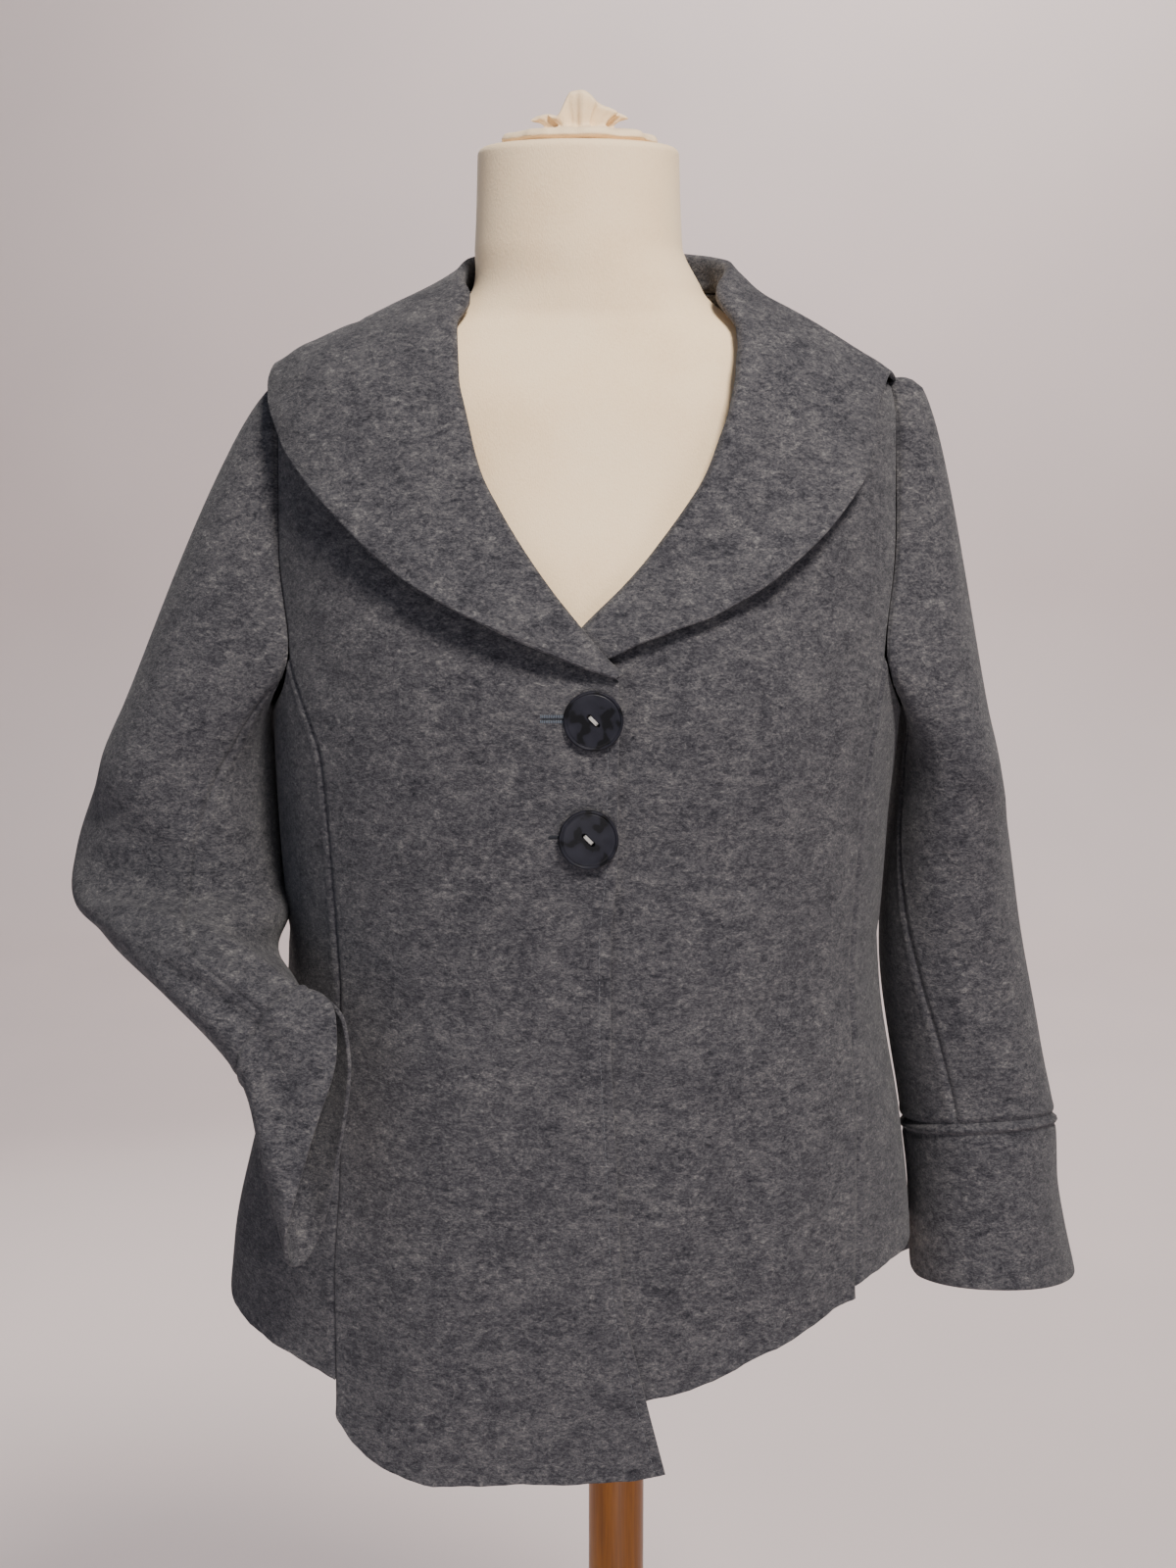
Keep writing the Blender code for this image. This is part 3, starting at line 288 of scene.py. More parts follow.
# %% [markdown]
# A table holds only a few rows, so everything between them is read from a smooth curve.
# A plain cubic spline can swing past its points; this one keeps each slope small enough that it never does,
# which matters for cloth that has to stay just outside the form.

# %% Smooth curves through a table
def smooth(knots, values, at):
    """Cubic curve through the rows of a table that never overshoots them; values may be whole rings."""
    at = np.asarray(at, float)
    values = np.asarray(values, float)
    extra = (1,) * (values.ndim - 1)
    step = np.diff(knots).reshape((-1,) + extra)
    slope = np.diff(values, axis=0) / step
    before, after = slope[:-1], slope[1:]
    same = before * after > 0
    inner = np.where(same, 2 * before * after / np.where(same, before + after, 1), 0)
    tangent = np.concatenate([slope[:1], inner, slope[-1:]])
    return hermite(knots, values, tangent, at)


def hermite(knots, values, tangent, at):
    """Cubic curve through values with the given tangents, read at any places."""
    knots = np.asarray(knots, float)
    span = np.clip(np.searchsorted(knots, at, side="right") - 1, 0, len(knots) - 2)
    length = knots[span + 1] - knots[span]
    t = np.clip((at - knots[span]) / length, 0, 1)
    shape = t.shape + (1,) * (values.ndim - 1)
    t = t.reshape(shape)
    length = length.reshape(shape)
    return cubic(t, values[span], values[span + 1], tangent[span] * length, tangent[span + 1] * length)


def cubic(t, start, stop, leave, arrive):
    """Cubic curve from start to stop at a share t of the way, with a tangent at each end."""
    return (start * (2 * t**3 - 3 * t**2 + 1) + leave * (t**3 - 2 * t**2 + t)
            + stop * (3 * t**2 - 2 * t**3) + arrive * (t**3 - t**2))


def column(rows, name, at):
    """One column of a table, read smoothly at any height."""
    at = np.asarray(at, float)
    return smooth(rows["height"], rows[name], at.ravel()).reshape(at.shape)


def read_rows(rows, count, inset=0.0):
    """All columns of a table, read smoothly at even places from its first row to its last."""
    knots = np.arange(len(rows["height"]), dtype=float)
    return [smooth(knots, values, np.linspace(inset, knots[-1] - inset, count)) for values in rows.values()]


def ramp(low, high, value):
    """Soft step from 0 at low to 1 at high."""
    t = np.clip((np.asarray(value, float) - low) / (high - low), 0, 1)
    return t * t * (3 - 2 * t)


def bell(distance, width):
    """Bell-shaped weight: 1 at no distance, and almost nothing past twice the width."""
    return np.exp(-(distance / width) ** 2)


def waves(at, *terms):
    """Sum of sines, each given by its rate, its share and its start."""
    return sum(share * np.sin(rate * at + start) for rate, share, start in terms)


def travelled(points, axis=0):
    """Distances along one direction of an array of points, counted from its first ones."""
    step = np.linalg.norm(np.diff(points, axis=axis), axis=-1)
    return np.insert(np.cumsum(step, axis=axis), 0, 0.0, axis=axis)


def unit(vectors):
    return vectors / np.linalg.norm(vectors, axis=-1, keepdims=True)

# %% [markdown]
# The body of the jacket is one surface of two parameters, angle and height. Its sections are squared ovals,
# and the skirt's folds are bell-shaped ridges added along the radius. All body panels are cut from it.

# %% The surface of the body
def oval(angle, half_width, front_depth, back_depth, square):
    """Point of a horizontal section: a squared oval with its own depth in front and behind."""
    s = np.sin(np.radians(angle))
    c = np.cos(np.radians(angle))
    x = half_width * np.sign(s) * np.abs(s) ** (2 / square)
    y = -np.where(c > 0, front_depth, back_depth) * np.sign(c) * np.abs(c) ** (2 / square)
    return x, y


def fold_depth(angle, height):
    """Sum of the skirt's soft folds: bell-shaped across, growing from top to bottom."""
    total = np.zeros(np.broadcast(angle, height).shape)
    for middle, width, depth, top, bottom in zip(*FOLDS.values()):
        across = (np.asarray(angle) - middle + 180) % 360 - 180
        total = total + depth * bell(across, width) * ramp(top, bottom, height)
    return total


def shoulder_drop(x, height):
    """How much lower the left shoulder hangs: nothing at the chest and the neck, all of it at the armhole."""
    return LEFT_SHOULDER_DROP * ramp(*DROP_ACROSS, x) * ramp(DROP_FROM, SHOULDER_HEIGHT, height)


def body(angle, height):
    """Middle surface of the jacket's body, before any piece is lapped over another."""
    angle, height = np.broadcast_arrays(np.asarray(angle, float), np.asarray(height, float))
    x, y = oval(angle, *(column(BODY, name, height) for name in OVAL_COLUMNS))
    fold = fold_depth(angle, height)
    x = x + column(BODY, "sway", height) + fold * np.sin(np.radians(angle))
    y = y - fold * np.cos(np.radians(angle))
    return np.stack([x + CENTRE_X, y, height - shoulder_drop(x, height)], axis=-1)


def outward(angle, height):
    """Unit normal of the body's surface, from its slopes round and up."""
    around = body(angle + 0.5, height) - body(angle - 0.5, height)
    up = body(angle, height + 0.001) - body(angle, height - 0.001)
    return unit(np.cross(around, up))


def on_body(angle, height, lift):
    """Point at a distance from the body's surface."""
    return body(angle, height) + outward(angle, height) * np.asarray(lift)[..., None]


def reach(angle, height, distance):
    """The angle that covers a distance round the body."""
    around = body(angle + 0.5, height) - body(angle - 0.5, height)
    return distance / np.linalg.norm(around, axis=-1)


def mirrored(angle, side):
    """An angle of the left side of the body, or the one that lies across from it on the right."""
    return angle if side == "left" else 360 - angle


def front_angle(across, height):
    """Angle of a point of the front that lies across metres from the centre line."""
    ratio = (across - column(BODY, "sway", height)) / column(BODY, "half_width", height)
    power = column(BODY, "square", height) / 2
    return np.degrees(np.arcsin(np.clip(np.sign(ratio) * np.abs(ratio) ** power, -1, 1)))


def tuck(angle, height):
    """How far the left front and the left end of the collar lie inside, under the right front."""
    turned = (np.asarray(angle) + 180) % 360 - 180
    across = body(turned, height)[..., 0] - CENTRE_X
    depth = TUCK_PLAIN + (TUCK_DEEP - TUCK_PLAIN) * ramp(*TUCK_CHANGE, height)
    edge = column(RIGHT_EDGE, "across", height)
    return -depth * (1 - ramp(*TUCK_ENDS, across - edge)) * (np.abs(turned) < TUCK_REACH)

print("waist across", round(float(np.ptp(body(np.arange(0, 360, 5), 0.990)[:, 0])), 3))

# %% [markdown]
# Every seam is a line on that surface. The armhole is a closed curve, the neck seam follows the collar, and the
# functions below give a border's angle at any height, so that panels, collar and sleeves meet on the same lines.

# %% Seams of the body
def armhole(around, side):
    """Angle and height of the armhole seam; around starts at the shoulder and runs down the front."""
    around = np.asarray(around, float) % 360
    angle = smooth(ARMHOLE["around"], ARMHOLE["angle"], around)
    height = smooth(ARMHOLE["around"], ARMHOLE["height"], around)
    return mirrored(angle, side), height


def armhole_angle(height, low, high):
    """Angle of one side of the armhole at a height, on the left side of the body."""
    around = np.linspace(low, high, 200)
    angle, level = armhole(around, "left")
    order = np.argsort(level)
    return np.interp(height, level[order], angle[order])


def border(height, seam, corner, low, high):
    """Angle of a panel's border: a column of a seam's table, then the armhole, then the shoulder seam."""
    below = column(*seam, np.clip(height, 0, corner))
    hole = armhole_angle(height, low, high)
    return np.where(height < corner, below, np.where(height < SHOULDER_HEIGHT, hole, SHOULDER_ANGLE))


def front_border(height, side):
    return border(height, (FRONT_SEAM, side), FRONT_CORNER_HEIGHT, 0, FRONT_CORNER)


def back_border(height):
    return border(height, (BACK_SEAM, "angle"), BACK_CORNER_HEIGHT, BACK_CORNER, 359.99)


def collar_lines(places):
    """Angle and height of the collar's roll line, outer edge and neck seam, and the lift of its edge."""
    knots = np.arange(len(COLLAR["turn"]), dtype=float)
    turn = COLLAR["turn"]
    sign = np.where(turn == 1, -1, 1)
    lines = {}
    for line in ("roll", "edge"):
        heights = COLLAR[line + "_height"]
        angles = turn * 180 + sign * front_angle(COLLAR[line + "_x"], heights)
        lines[line] = (smooth(knots, angles, places), smooth(knots, heights, places))
    stand = smooth(knots, COLLAR["stand"], places)
    turned = np.radians(lines["edge"][0] - lines["roll"][0]) * CHEST_RADIUS
    length = np.hypot(turned, lines["edge"][1] - lines["roll"][1])
    share = np.minimum(stand / length, STAND_LIMIT)
    lines["lift"] = smooth(knots, COLLAR["lift"], places)
    lines["neck"] = tuple(r + (e - r) * share for r, e in zip(lines["roll"], lines["edge"]))
    return lines


def neck_seam(side):
    """The neck seam of one front as angle and height, from the break point to the shoulder."""
    places = STATIONS[STATIONS <= SHOULDER_ROW["left"]]
    if side == "right":
        places = STATIONS[STATIONS >= SHOULDER_ROW["right"]][::-1]
    angle, height = collar_lines(places)["neck"]
    return mirrored(angle, side), height


def front_start(height, side):
    """Angle of a front's inner border: the front edge, then the neck seam."""
    edge = LEFT_EDGE if side == "left" else RIGHT_EDGE
    across = column(edge, "across", np.minimum(height, BREAK_HEIGHT))
    straight = front_angle(across, np.minimum(height, BREAK_HEIGHT))
    straight = straight if side == "left" else -straight
    angle, level = neck_seam(side)
    neck = np.interp(height, level, angle)
    return np.where(height < BREAK_HEIGHT + 0.003, straight, np.maximum(straight, neck))


def spread(breaks, counts):
    """Levels between break heights, a count of steps for each stretch."""
    runs = [np.linspace(a, b, n, endpoint=False) for a, b, n in zip(breaks, breaks[1:], counts)]
    return np.append(np.concatenate(runs), breaks[-1])


SEAM_LEVELS = spread([SIDE_LEVEL, BREAK_HEIGHT, FRONT_CORNER_HEIGHT], [6, 1])
FRONT_SHARES = np.linspace(0, 1, 11)
SIDE_SHARES = np.linspace(0, 1, 8)
BACK_SHARES = np.linspace(0, 1, 21)
HEM_ROWS = 3
SHOULDER_ROWS = 4

print("neck seam ends at", [round(float(neck_seam(side)[1][-1]), 3) for side in ("right", "left")])

# %% [markdown]
# A panel is a grid: its rows are levels that bend down to the hem and up to the neck, and its columns share out
# the width between two borders. Cutting a finished shell would leave ragged triangles; a grid ends on its seam.

# %% Grids of the panels
def panel_grid(hem, share, levels, top=None):
    """Heights of a panel's grid: the lowest rows bend to the hem, the highest to the top border."""
    bottom = smooth(hem["share"], hem["height"], share)
    steps = np.arange(HEM_ROWS)[:, None] / HEM_ROWS
    low = bottom + (levels[0] - bottom) * steps
    high = np.repeat(levels[:, None], len(share), axis=1)
    if top is not None:
        rise = ramp(levels[0], levels[-1], high)
        high = high + (top - levels[-1])[None, :] * rise
    return np.vstack([low, high])


def across_panel(left, right, share, height):
    """Angles of a grid between two borders, each drawn back by half the seam gap."""
    left = left + reach(left, height, HALF_GAP)
    right = right - reach(right, height, HALF_GAP)
    return left + (right - left) * share


def front_panel(side):
    """Angles and heights of a front: below the break its rows are level, above it they fan to the neck seam."""
    share = FRONT_SHARES
    low = panel_grid(HEMS[side + "_front"], share, SEAM_LEVELS[:-1])
    neck = neck_seam(side)[1][1:]
    steps = [len(neck) - 1 - SHOULDER_ROWS, SHOULDER_ROWS]
    outer = spread([FRONT_CORNER_HEIGHT, SHOULDER_HEIGHT, neck[-1] - 0.001], steps)
    high = neck[:, None] * (1 - share) + outer[:, None] * share
    height = np.vstack([low, high])
    inner = front_start(height, side)
    inner = inner + reach(inner, height, HALF_GAP)
    angle = across_panel(inner, front_border(height, side), share, height)
    return mirrored(angle, side), height

# %% [markdown]
# The tables give coarse grids, which are enough for solids. For a close look each grid is read again at
# finer places, evenly spaced in metres, with a few extra rows and columns close to every border: they carry
# the rounded raw edge and the line of stitches beside it.

# %% Finer grids
EDGE_STEPS = np.array([0, 0.0003, 0.0008, 0.0015, 0.0026, 0.0042, 0.0054, 0.0064, 0.0074, 0.0086, 0.0110])
CLOTH_SPACING = 0.0045


def even_places(points, axis):
    """Places along one direction of a coarse grid: even steps in metres, closer at both ends."""
    along = travelled(points, axis).mean(axis=1 - axis)
    inner = np.linspace(EDGE_STEPS[-1], along[-1] - EDGE_STEPS[-1], int(along[-1] / CLOTH_SPACING))
    at = np.concatenate([EDGE_STEPS[:-1], inner, along[-1] - EDGE_STEPS[-2::-1]])
    return np.interp(at, along, np.arange(len(along)))


def refine(grid, down, across):
    """A coarse grid read smoothly first down its rows, then across its columns."""
    rows = smooth(np.arange(grid.shape[0], dtype=float), grid, down)
    columns = smooth(np.arange(grid.shape[1], dtype=float), np.swapaxes(rows, 0, 1), across)
    return np.swapaxes(columns, 0, 1)


def border_distance(points):
    """Distances of every grid point from the first and last column and the first and last row, in metres."""
    along, up = travelled(points, 1), travelled(points, 0)
    return {"first": along, "last": along[:, -1:] - along, "bottom": up, "top": up[-1:] - up}


# %% [markdown]
# Boiled wool is cut raw: the edge is as thick as the cloth and softly rounded. Each piece is therefore a wall
# with an outer and an inner side, both moved half the thickness from one middle surface, and the thickness
# follows a quarter circle in the last millimetre. Along a seam the two pieces meet in full thickness instead:
# each reaches a little way over, and the outer side sinks into the stitches beside a faint ridge of turned cloth.

# %% A wall of cloth
EDGE_ROUND = 0.0012
EDGE_SHARE = 0.995
SEAM_DIP = 0.0012
SEAM_WIDTH = 0.0013
SEAM_RIDGE = 0.0004
SEAM_RIDGE_AT = 0.0045
SEAM_RIDGE_WIDTH = 0.0022
SEAM_REACH = 0.0003
ARMHOLE_REACH = 0.0014
SIDES = {"first": (np.s_[:, 0], np.s_[:, 1]), "last": (np.s_[:, -1], np.s_[:, -2]),
         "bottom": (np.s_[0], np.s_[1]), "top": (np.s_[-1], np.s_[-2])}
made = {}


def quads(index):
    """Four-sided faces of a grid of point numbers."""
    corners = [index[:-1, :-1], index[:-1, 1:], index[1:, 1:], index[1:, :-1]]
    return np.stack([corner.ravel() for corner in corners], axis=1)


def add(name, data):
    """A new object in the scene's collection."""
    item = bpy.data.objects.new(name, data)
    bpy.context.scene.collection.objects.link(item)
    return item


def add_mesh(name, points, faces):
    """A new smooth-shaded mesh object from an array of points and a list of faces."""
    mesh = bpy.data.meshes.new(name)
    mesh.from_pydata(points.reshape(-1, 3).tolist(), [], faces)
    mesh.shade_smooth()
    return add(name, mesh)


def fill(name, points, faces, node=None):
    """A piece from points and faces, riding on the frame, and standing for a node where one is named."""
    piece = add_mesh(name, points, faces)
    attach(piece, "root")
    if node:
        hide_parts(node)
    made[name] = piece
    return piece


def facing(middle):
    """Unit normals of a grid, from the differences between its neighbours."""
    return unit(np.cross(np.gradient(middle, axis=1), np.gradient(middle, axis=0)))


def cloth(node, middle, normal, seams=(), relief=0.0, reach=None):
    """Wall round a middle surface: each side lies half the thickness out, less where a raw edge or a seam is near."""
    rows, columns = middle.shape[:2]
    away = border_distance(middle)
    raw = [away[name] for name in SIDES if name not in seams]
    nearest = np.minimum.reduce(raw) if raw else np.full((rows, columns), EDGE_ROUND)
    share = np.clip(1 - nearest / EDGE_ROUND, 0, EDGE_SHARE)
    half = WALL / 2 * np.sqrt(1 - share ** 2)
    middle = middle.copy()
    for name in seams:
        border, neighbour = SIDES[name]
        middle[border] += unit(middle[border] - middle[neighbour]) * (reach or {}).get(name, SEAM_REACH)
    dip = sum((SEAM_DIP * bell(away[seam], SEAM_WIDTH)
               - SEAM_RIDGE * bell(away[seam] - SEAM_RIDGE_AT, SEAM_RIDGE_WIDTH) for seam in seams),
              np.zeros(half.shape))
    dip = np.minimum(dip, half)
    outer = middle + normal * (half - dip + relief)[..., None]
    inner = middle - normal * half[..., None]
    index = np.arange(rows * columns).reshape(rows, columns)
    border = np.concatenate([index[0], index[1:, -1], index[-1, -2::-1], index[-2:0:-1, 0]])
    after = np.roll(border, -1)
    size = rows * columns
    rim = np.stack([border, border + size, after + size, after], axis=1)
    faces = np.concatenate([quads(index), quads(index + size)[:, ::-1], rim])
    piece = fill(node, np.stack([outer, inner]), faces.tolist(), node)
    area = sheet_area(middle)
    return piece


def sheet_area(middle):
    """Area of a grid: half the lengths of the cross products of its cells' diagonals."""
    one = middle[1:, 1:] - middle[:-1, :-1]
    other = middle[1:, :-1] - middle[:-1, 1:]
    return float(np.linalg.norm(np.cross(one, other), axis=-1).sum() / 2)


# %% [markdown]
# Worn cloth has creases where it is held: from the buttons, at the waist and into the armholes. Each is placed
# as a row of a table: its two ends, its width and its depth. The depth is bell-shaped across the line
# and fades at both ends, a trough where it is negative and a ridge where it is positive.

# %% Creases
CREASE_COLUMNS = "angle_from height_from angle_to height_to width depth"
BODY_CREASES = table(CREASE_COLUMNS, [
    (-8.0, 1.082, -40.0, 1.030, 0.010, -0.0009),
    (-7.0, 1.090, -34.0, 1.075, 0.008, 0.0006),
    (8.0, 1.080, 38.0, 1.040, 0.010, -0.0009),
    (9.0, 1.096, 30.0, 1.098, 0.009, 0.0006),
    (-48.0, 0.992, -14.0, 0.968, 0.011, -0.0011),
    (-42.0, 0.952, -10.0, 0.940, 0.012, 0.0008),
    (12.0, 0.972, 50.0, 0.986, 0.011, -0.0011),
    (6.0, 0.935, 44.0, 0.948, 0.013, 0.0008),
    (-60.0, 1.205, -34.0, 1.150, 0.012, -0.0016),
    (-62.0, 1.250, -44.0, 1.215, 0.011, -0.0012),
    (60.0, 1.205, 38.0, 1.148, 0.012, -0.0015),
    (63.0, 1.262, 46.0, 1.222, 0.010, -0.0011),
    (22.0, 0.900, 20.0, 0.740, 0.014, -0.0022),
    (33.0, 0.880, 36.0, 0.770, 0.018, 0.0016),
    (-14.0, 0.860, -17.0, 0.700, 0.016, 0.0015),
    (-30.0, 0.840, -32.0, 0.710, 0.015, -0.0016),
    (74.0, 1.010, 96.0, 0.985, 0.010, -0.0014),
    (-74.0, 1.010, -96.0, 0.990, 0.010, -0.0014),
    (120.0, 1.150, 150.0, 1.120, 0.013, -0.0016),
    (-118.0, 1.155, -146.0, 1.118, 0.013, -0.0015),
    (125.0, 0.990, 172.0, 0.972, 0.012, -0.0016),
    (-124.0, 0.998, -168.0, 0.978, 0.012, -0.0014),
    (140.0, 0.955, 178.0, 0.944, 0.012, 0.0010),
    (-150.0, 1.040, -172.0, 1.052, 0.011, 0.0009),
    (160.0, 0.900, 163.0, 0.760, 0.016, -0.0018),
    (-158.0, 0.890, -162.0, 0.750, 0.015, -0.0016),
])
BODY_DEGREE = 0.0030


def crease_depth(rows, u, v, scale_u, scale_v):
    """Sum over creases: depth, bell-shaped across the line, smoothly faded over its first and last third."""
    total = np.zeros(np.broadcast(u, v).shape)
    for u0, v0, u1, v1, width, depth in zip(*rows.values()):
        line = np.array([(u1 - u0) * scale_u, (v1 - v0) * scale_v])
        length = np.hypot(*line)
        along = ((u - u0) * scale_u * line[0] + (v - v0) * scale_v * line[1]) / length ** 2
        aside = ((u - u0) * scale_u * line[1] - (v - v0) * scale_v * line[0]) / length
        fade = ramp(-0.15, 0.35, along) * ramp(1.15, 0.65, along)
        bend = 0.004 * np.sin(3 * np.pi * along)
        total = total + depth * fade * bell(aside + bend, width)
    return total


def body_relief(angle, height):
    """Creases of the body, plus a slow unevenness of under half a millimetre that felted cloth always has."""
    turned = (angle + 180) % 360 - 180
    creases = crease_depth(BODY_CREASES, turned, height, BODY_DEGREE, 1.0)
    slow = np.sin(turned * 0.21 + 9 * height) * np.sin(31 * height - 0.13 * turned)
    return creases + 0.0004 * slow


print("creases on the body", len(BODY_CREASES["depth"]))

# %% [markdown]
# Fronts, side panels and back are cut from the body's surface. The hem is cut by hand, so it waves slowly by
# about a millimetre, and it curls outwards a little. The right front carries a line of stitches along its edge.

# %% Panels of the body
STITCH_INSET = 0.0066
STITCH_GROOVE = 0.0006
STITCH_GROOVE_WIDTH = 0.0011
HEM_WAVE = 0.0007
HEM_CURL = 0.0015
HEM_WAVES = ((0.27, 1.0, 0.0), (0.71, 0.6, 1.0), (1.7, 0.3, 2.0))
HEM_WAVE_REACH = 0.02
HEM_CURL_REACH = 0.006
PANEL_SEAMS = {"right_front": ("first", "top"), "left_front": ("last", "top"), "back": ("first", "last", "top"),
               "right_side_panel": ("first", "last", "top"), "left_side_panel": ("first", "last", "top")}


def panel(node, side, angle, height, tucked=False):
    """One body panel: its coarse grid is turned to run leftwards, refined, waved at the hem and given relief."""
    order = slice(None) if side == "left" else slice(None, None, -1)
    angle, height = angle[:, order], height[:, order]
    coarse = body(angle, height)
    down, across = even_places(coarse, 0), even_places(coarse, 1)
    angle, height = refine(angle, down, across), refine(height, down, across)
    rise = height - height[0]
    height = height + HEM_WAVE * waves(angle[0], *HEM_WAVES) * bell(rise, HEM_WAVE_REACH)
    lift = body_relief(angle, height) + (tuck(angle, height) if tucked else 0)
    lift = lift + HEM_CURL * np.exp(-rise / HEM_CURL_REACH) * (0.6 + 0.4 * np.sin(angle[0] * 0.37 + 1))
    relief = 0.0
    if node == "right_front":
        inset = border_distance(on_body(angle, height, lift))["last"]
        below = ramp(BREAK_HEIGHT, BREAK_HEIGHT - 0.01, height)
        relief = -STITCH_GROOVE * bell(inset - STITCH_INSET, STITCH_GROOVE_WIDTH) * below
    middle = on_body(angle, height, lift)
    return cloth(node, middle, outward(angle, height), PANEL_SEAMS[node], relief), middle


def side_grid(side):
    """Coarse grid of a side panel, from the side-front seam to the side-back seam."""
    corners = armhole(np.array([FRONT_CORNER, BACK_CORNER]), "left")
    top = armhole(FRONT_CORNER + (BACK_CORNER - FRONT_CORNER) * SIDE_SHARES, "left")[1] - SEAM_GAP
    height = panel_grid(HEMS[side + "_side_panel"], SIDE_SHARES, SEAM_LEVELS, top)
    front = front_border(np.minimum(height, corners[1][0] - SEAM_GAP), side)
    back = back_border(np.minimum(height, corners[1][1] - SEAM_GAP))
    angle = across_panel(front, back, SIDE_SHARES, height)
    return mirrored(angle, side), height


def back_grid():
    """Coarse grid of the back, from side-back seam to side-back seam, up to the shoulders and the neck."""
    upper = spread([BACK_CORNER_HEIGHT, SHOULDER_HEIGHT, NECK_HEIGHT], [6, SHOULDER_ROWS])
    height = panel_grid(HEMS["back"], BACK_SHARES, np.append(SEAM_LEVELS[:-1], upper))
    border = back_border(height)
    angle = across_panel(border, 360 - border, BACK_SHARES, height)
    neck_angle, neck_height = collar_lines(np.linspace(8.5, 15.5, 300))["neck"]
    limit = np.interp(angle, neck_angle, neck_height) - 5 * SEAM_GAP
    lift = ramp(SHOULDER_HEIGHT, NECK_HEIGHT, height)
    return angle, np.minimum(height + (limit - NECK_HEIGHT) * lift, limit)


front_middles = {}
for side in ("right", "left"):
    front_middles[side] = panel(side + "_front", side, *front_panel(side), tucked=side == "left")[1]
    panel(side + "_side_panel", side, *side_grid(side))
panel("back", "left", *back_grid())

# %% [markdown]
# The shawl collar is one piece: it stands up at the neck, turns over a soft roll and falls wide over the
# shoulders. It is followed along the neck, station by station, so the roll line and the outer edge keep the
# shapes of the table, and the fall leaves the stand by a half circle at the roll.

# %% The collar
COLLAR_CREASES = table("angle_from height_from angle_to height_to width depth", [
    (0.150, 0.040, 0.185, 0.085, 0.008, 0.0010),
    (0.165, 0.045, 0.205, 0.100, 0.009, -0.0012),
    (0.300, 0.050, 0.330, 0.110, 0.014, -0.0012),
    (0.760, 0.050, 0.735, 0.120, 0.014, -0.0012),
    (0.880, 0.050, 0.850, 0.100, 0.010, 0.0008),
    (1.060, 0.030, 1.020, 0.080, 0.009, -0.0008),
])
COLLAR_EDGE_WAVE = 0.0009
COLLAR_WAVES = ((61.0, 1.0, 0.0), (139.0, 0.6, 1.0))
COLLAR_WAVE_REACH, COLLAR_WAVE_STARTS = 0.025, (0.0, 0.08)
COLLAR_CURL = 0.0055
COLLAR_CURL_REACH, COLLAR_CURL_STARTS, COLLAR_CURL_ENDS = 0.028, (0.01, 0.06), (0.32, 0.20)
COLLAR_SEAM_REACH = 0.012


def collar_grid():
    """Coarse middle points of the collar: stand, half-round fold and wide fall, rows from edge to neck."""
    lines = collar_lines(STATIONS)
    is_left = (STATIONS < LAST_ROW / 2)[:, None]
    fold = COLLAR_FOLD * np.ones_like(STATIONS)
    tucked = tuck(*lines["roll"]) * is_left[:, 0] / TUCK_DEEP
    fold = fold + (COLLAR_FOLD - COLLAR_FOLD_TUCKED) * tucked

    def between(share, start, stop, lift):
        angle = start[0][:, None] + (stop[0] - start[0])[:, None] * share
        height = start[1][:, None] + (stop[1] - start[1])[:, None] * share
        return on_body(angle, height, lift + tuck(angle, height) * is_left)

    stand = between(np.linspace(0, 1, 4), lines["neck"], lines["roll"], 0.0)
    root = stand[:, -1]
    upward = unit(root - stand[:, -2])
    normal = outward(*lines["roll"])
    turn = np.radians([45, 90, 135])[None, :, None]
    centre = root + normal * fold[:, None] / 2
    bend = centre[:, None] + fold[:, None, None] / 2 * (
        upward[:, None] * np.sin(turn) - normal[:, None] * np.cos(turn))
    share = np.linspace(0, 1, 9)
    free = ramp(COLLAR_FOLD_TUCKED, COLLAR_FOLD, fold)[:, None]
    fall = between(share, lines["neck"], lines["edge"], fold[:, None] + lines["lift"][:, None] * share * free)
    rise = root + normal * fold[:, None] - fall[:, 0]
    fall = fall + rise[:, None] * ((1 - share) ** COLLAR_RELEASE)[None, :, None]
    middle = np.swapaxes(np.concatenate([stand, bend, fall], axis=1)[:, ::-1], 0, 1)
    return middle, -outward(*lines["neck"])


def collar():
    """The refined collar; its outer edge waves, and on the fronts it curls away from the body."""
    middle, neck_normal = collar_grid()
    down, across = even_places(middle, 0), even_places(middle, 1)
    middle = refine(middle, down, across)
    normal = facing(middle)
    neck_normal = refine(neck_normal[None].repeat(2, axis=0), np.zeros(1), across)[0]
    away = border_distance(middle)
    near = np.clip(1 - away["top"] / COLLAR_SEAM_REACH, 0, 1)[..., None]
    normal = unit(normal * (1 - near) + neck_normal[None] * near)
    along, deep = away["first"], away["bottom"]
    relief = crease_depth(COLLAR_CREASES, along, deep, 1.0, 1.0)
    tip = np.minimum(along, along[:, -1:] - along)
    edge = waves(along, *COLLAR_WAVES) * bell(deep, COLLAR_WAVE_REACH) * ramp(*COLLAR_WAVE_STARTS, tip)
    curl = bell(deep, COLLAR_CURL_REACH) * ramp(*COLLAR_CURL_STARTS, tip) * ramp(*COLLAR_CURL_ENDS, tip)
    relief = relief + COLLAR_EDGE_WAVE * edge + COLLAR_CURL * curl
    return cloth("collar", middle + normal * relief[..., None], normal, ("top",))


collar()

# %% [markdown]
# A two-piece sleeve is a bent tube. Its rings are squared ovals with their own centre and two half axes, and
# the surface runs smoothly through them; the upper and the under sleeve are strips of it between the seams.
# The elbow of the bent arm folds the cloth, so its creases run round the inner side.

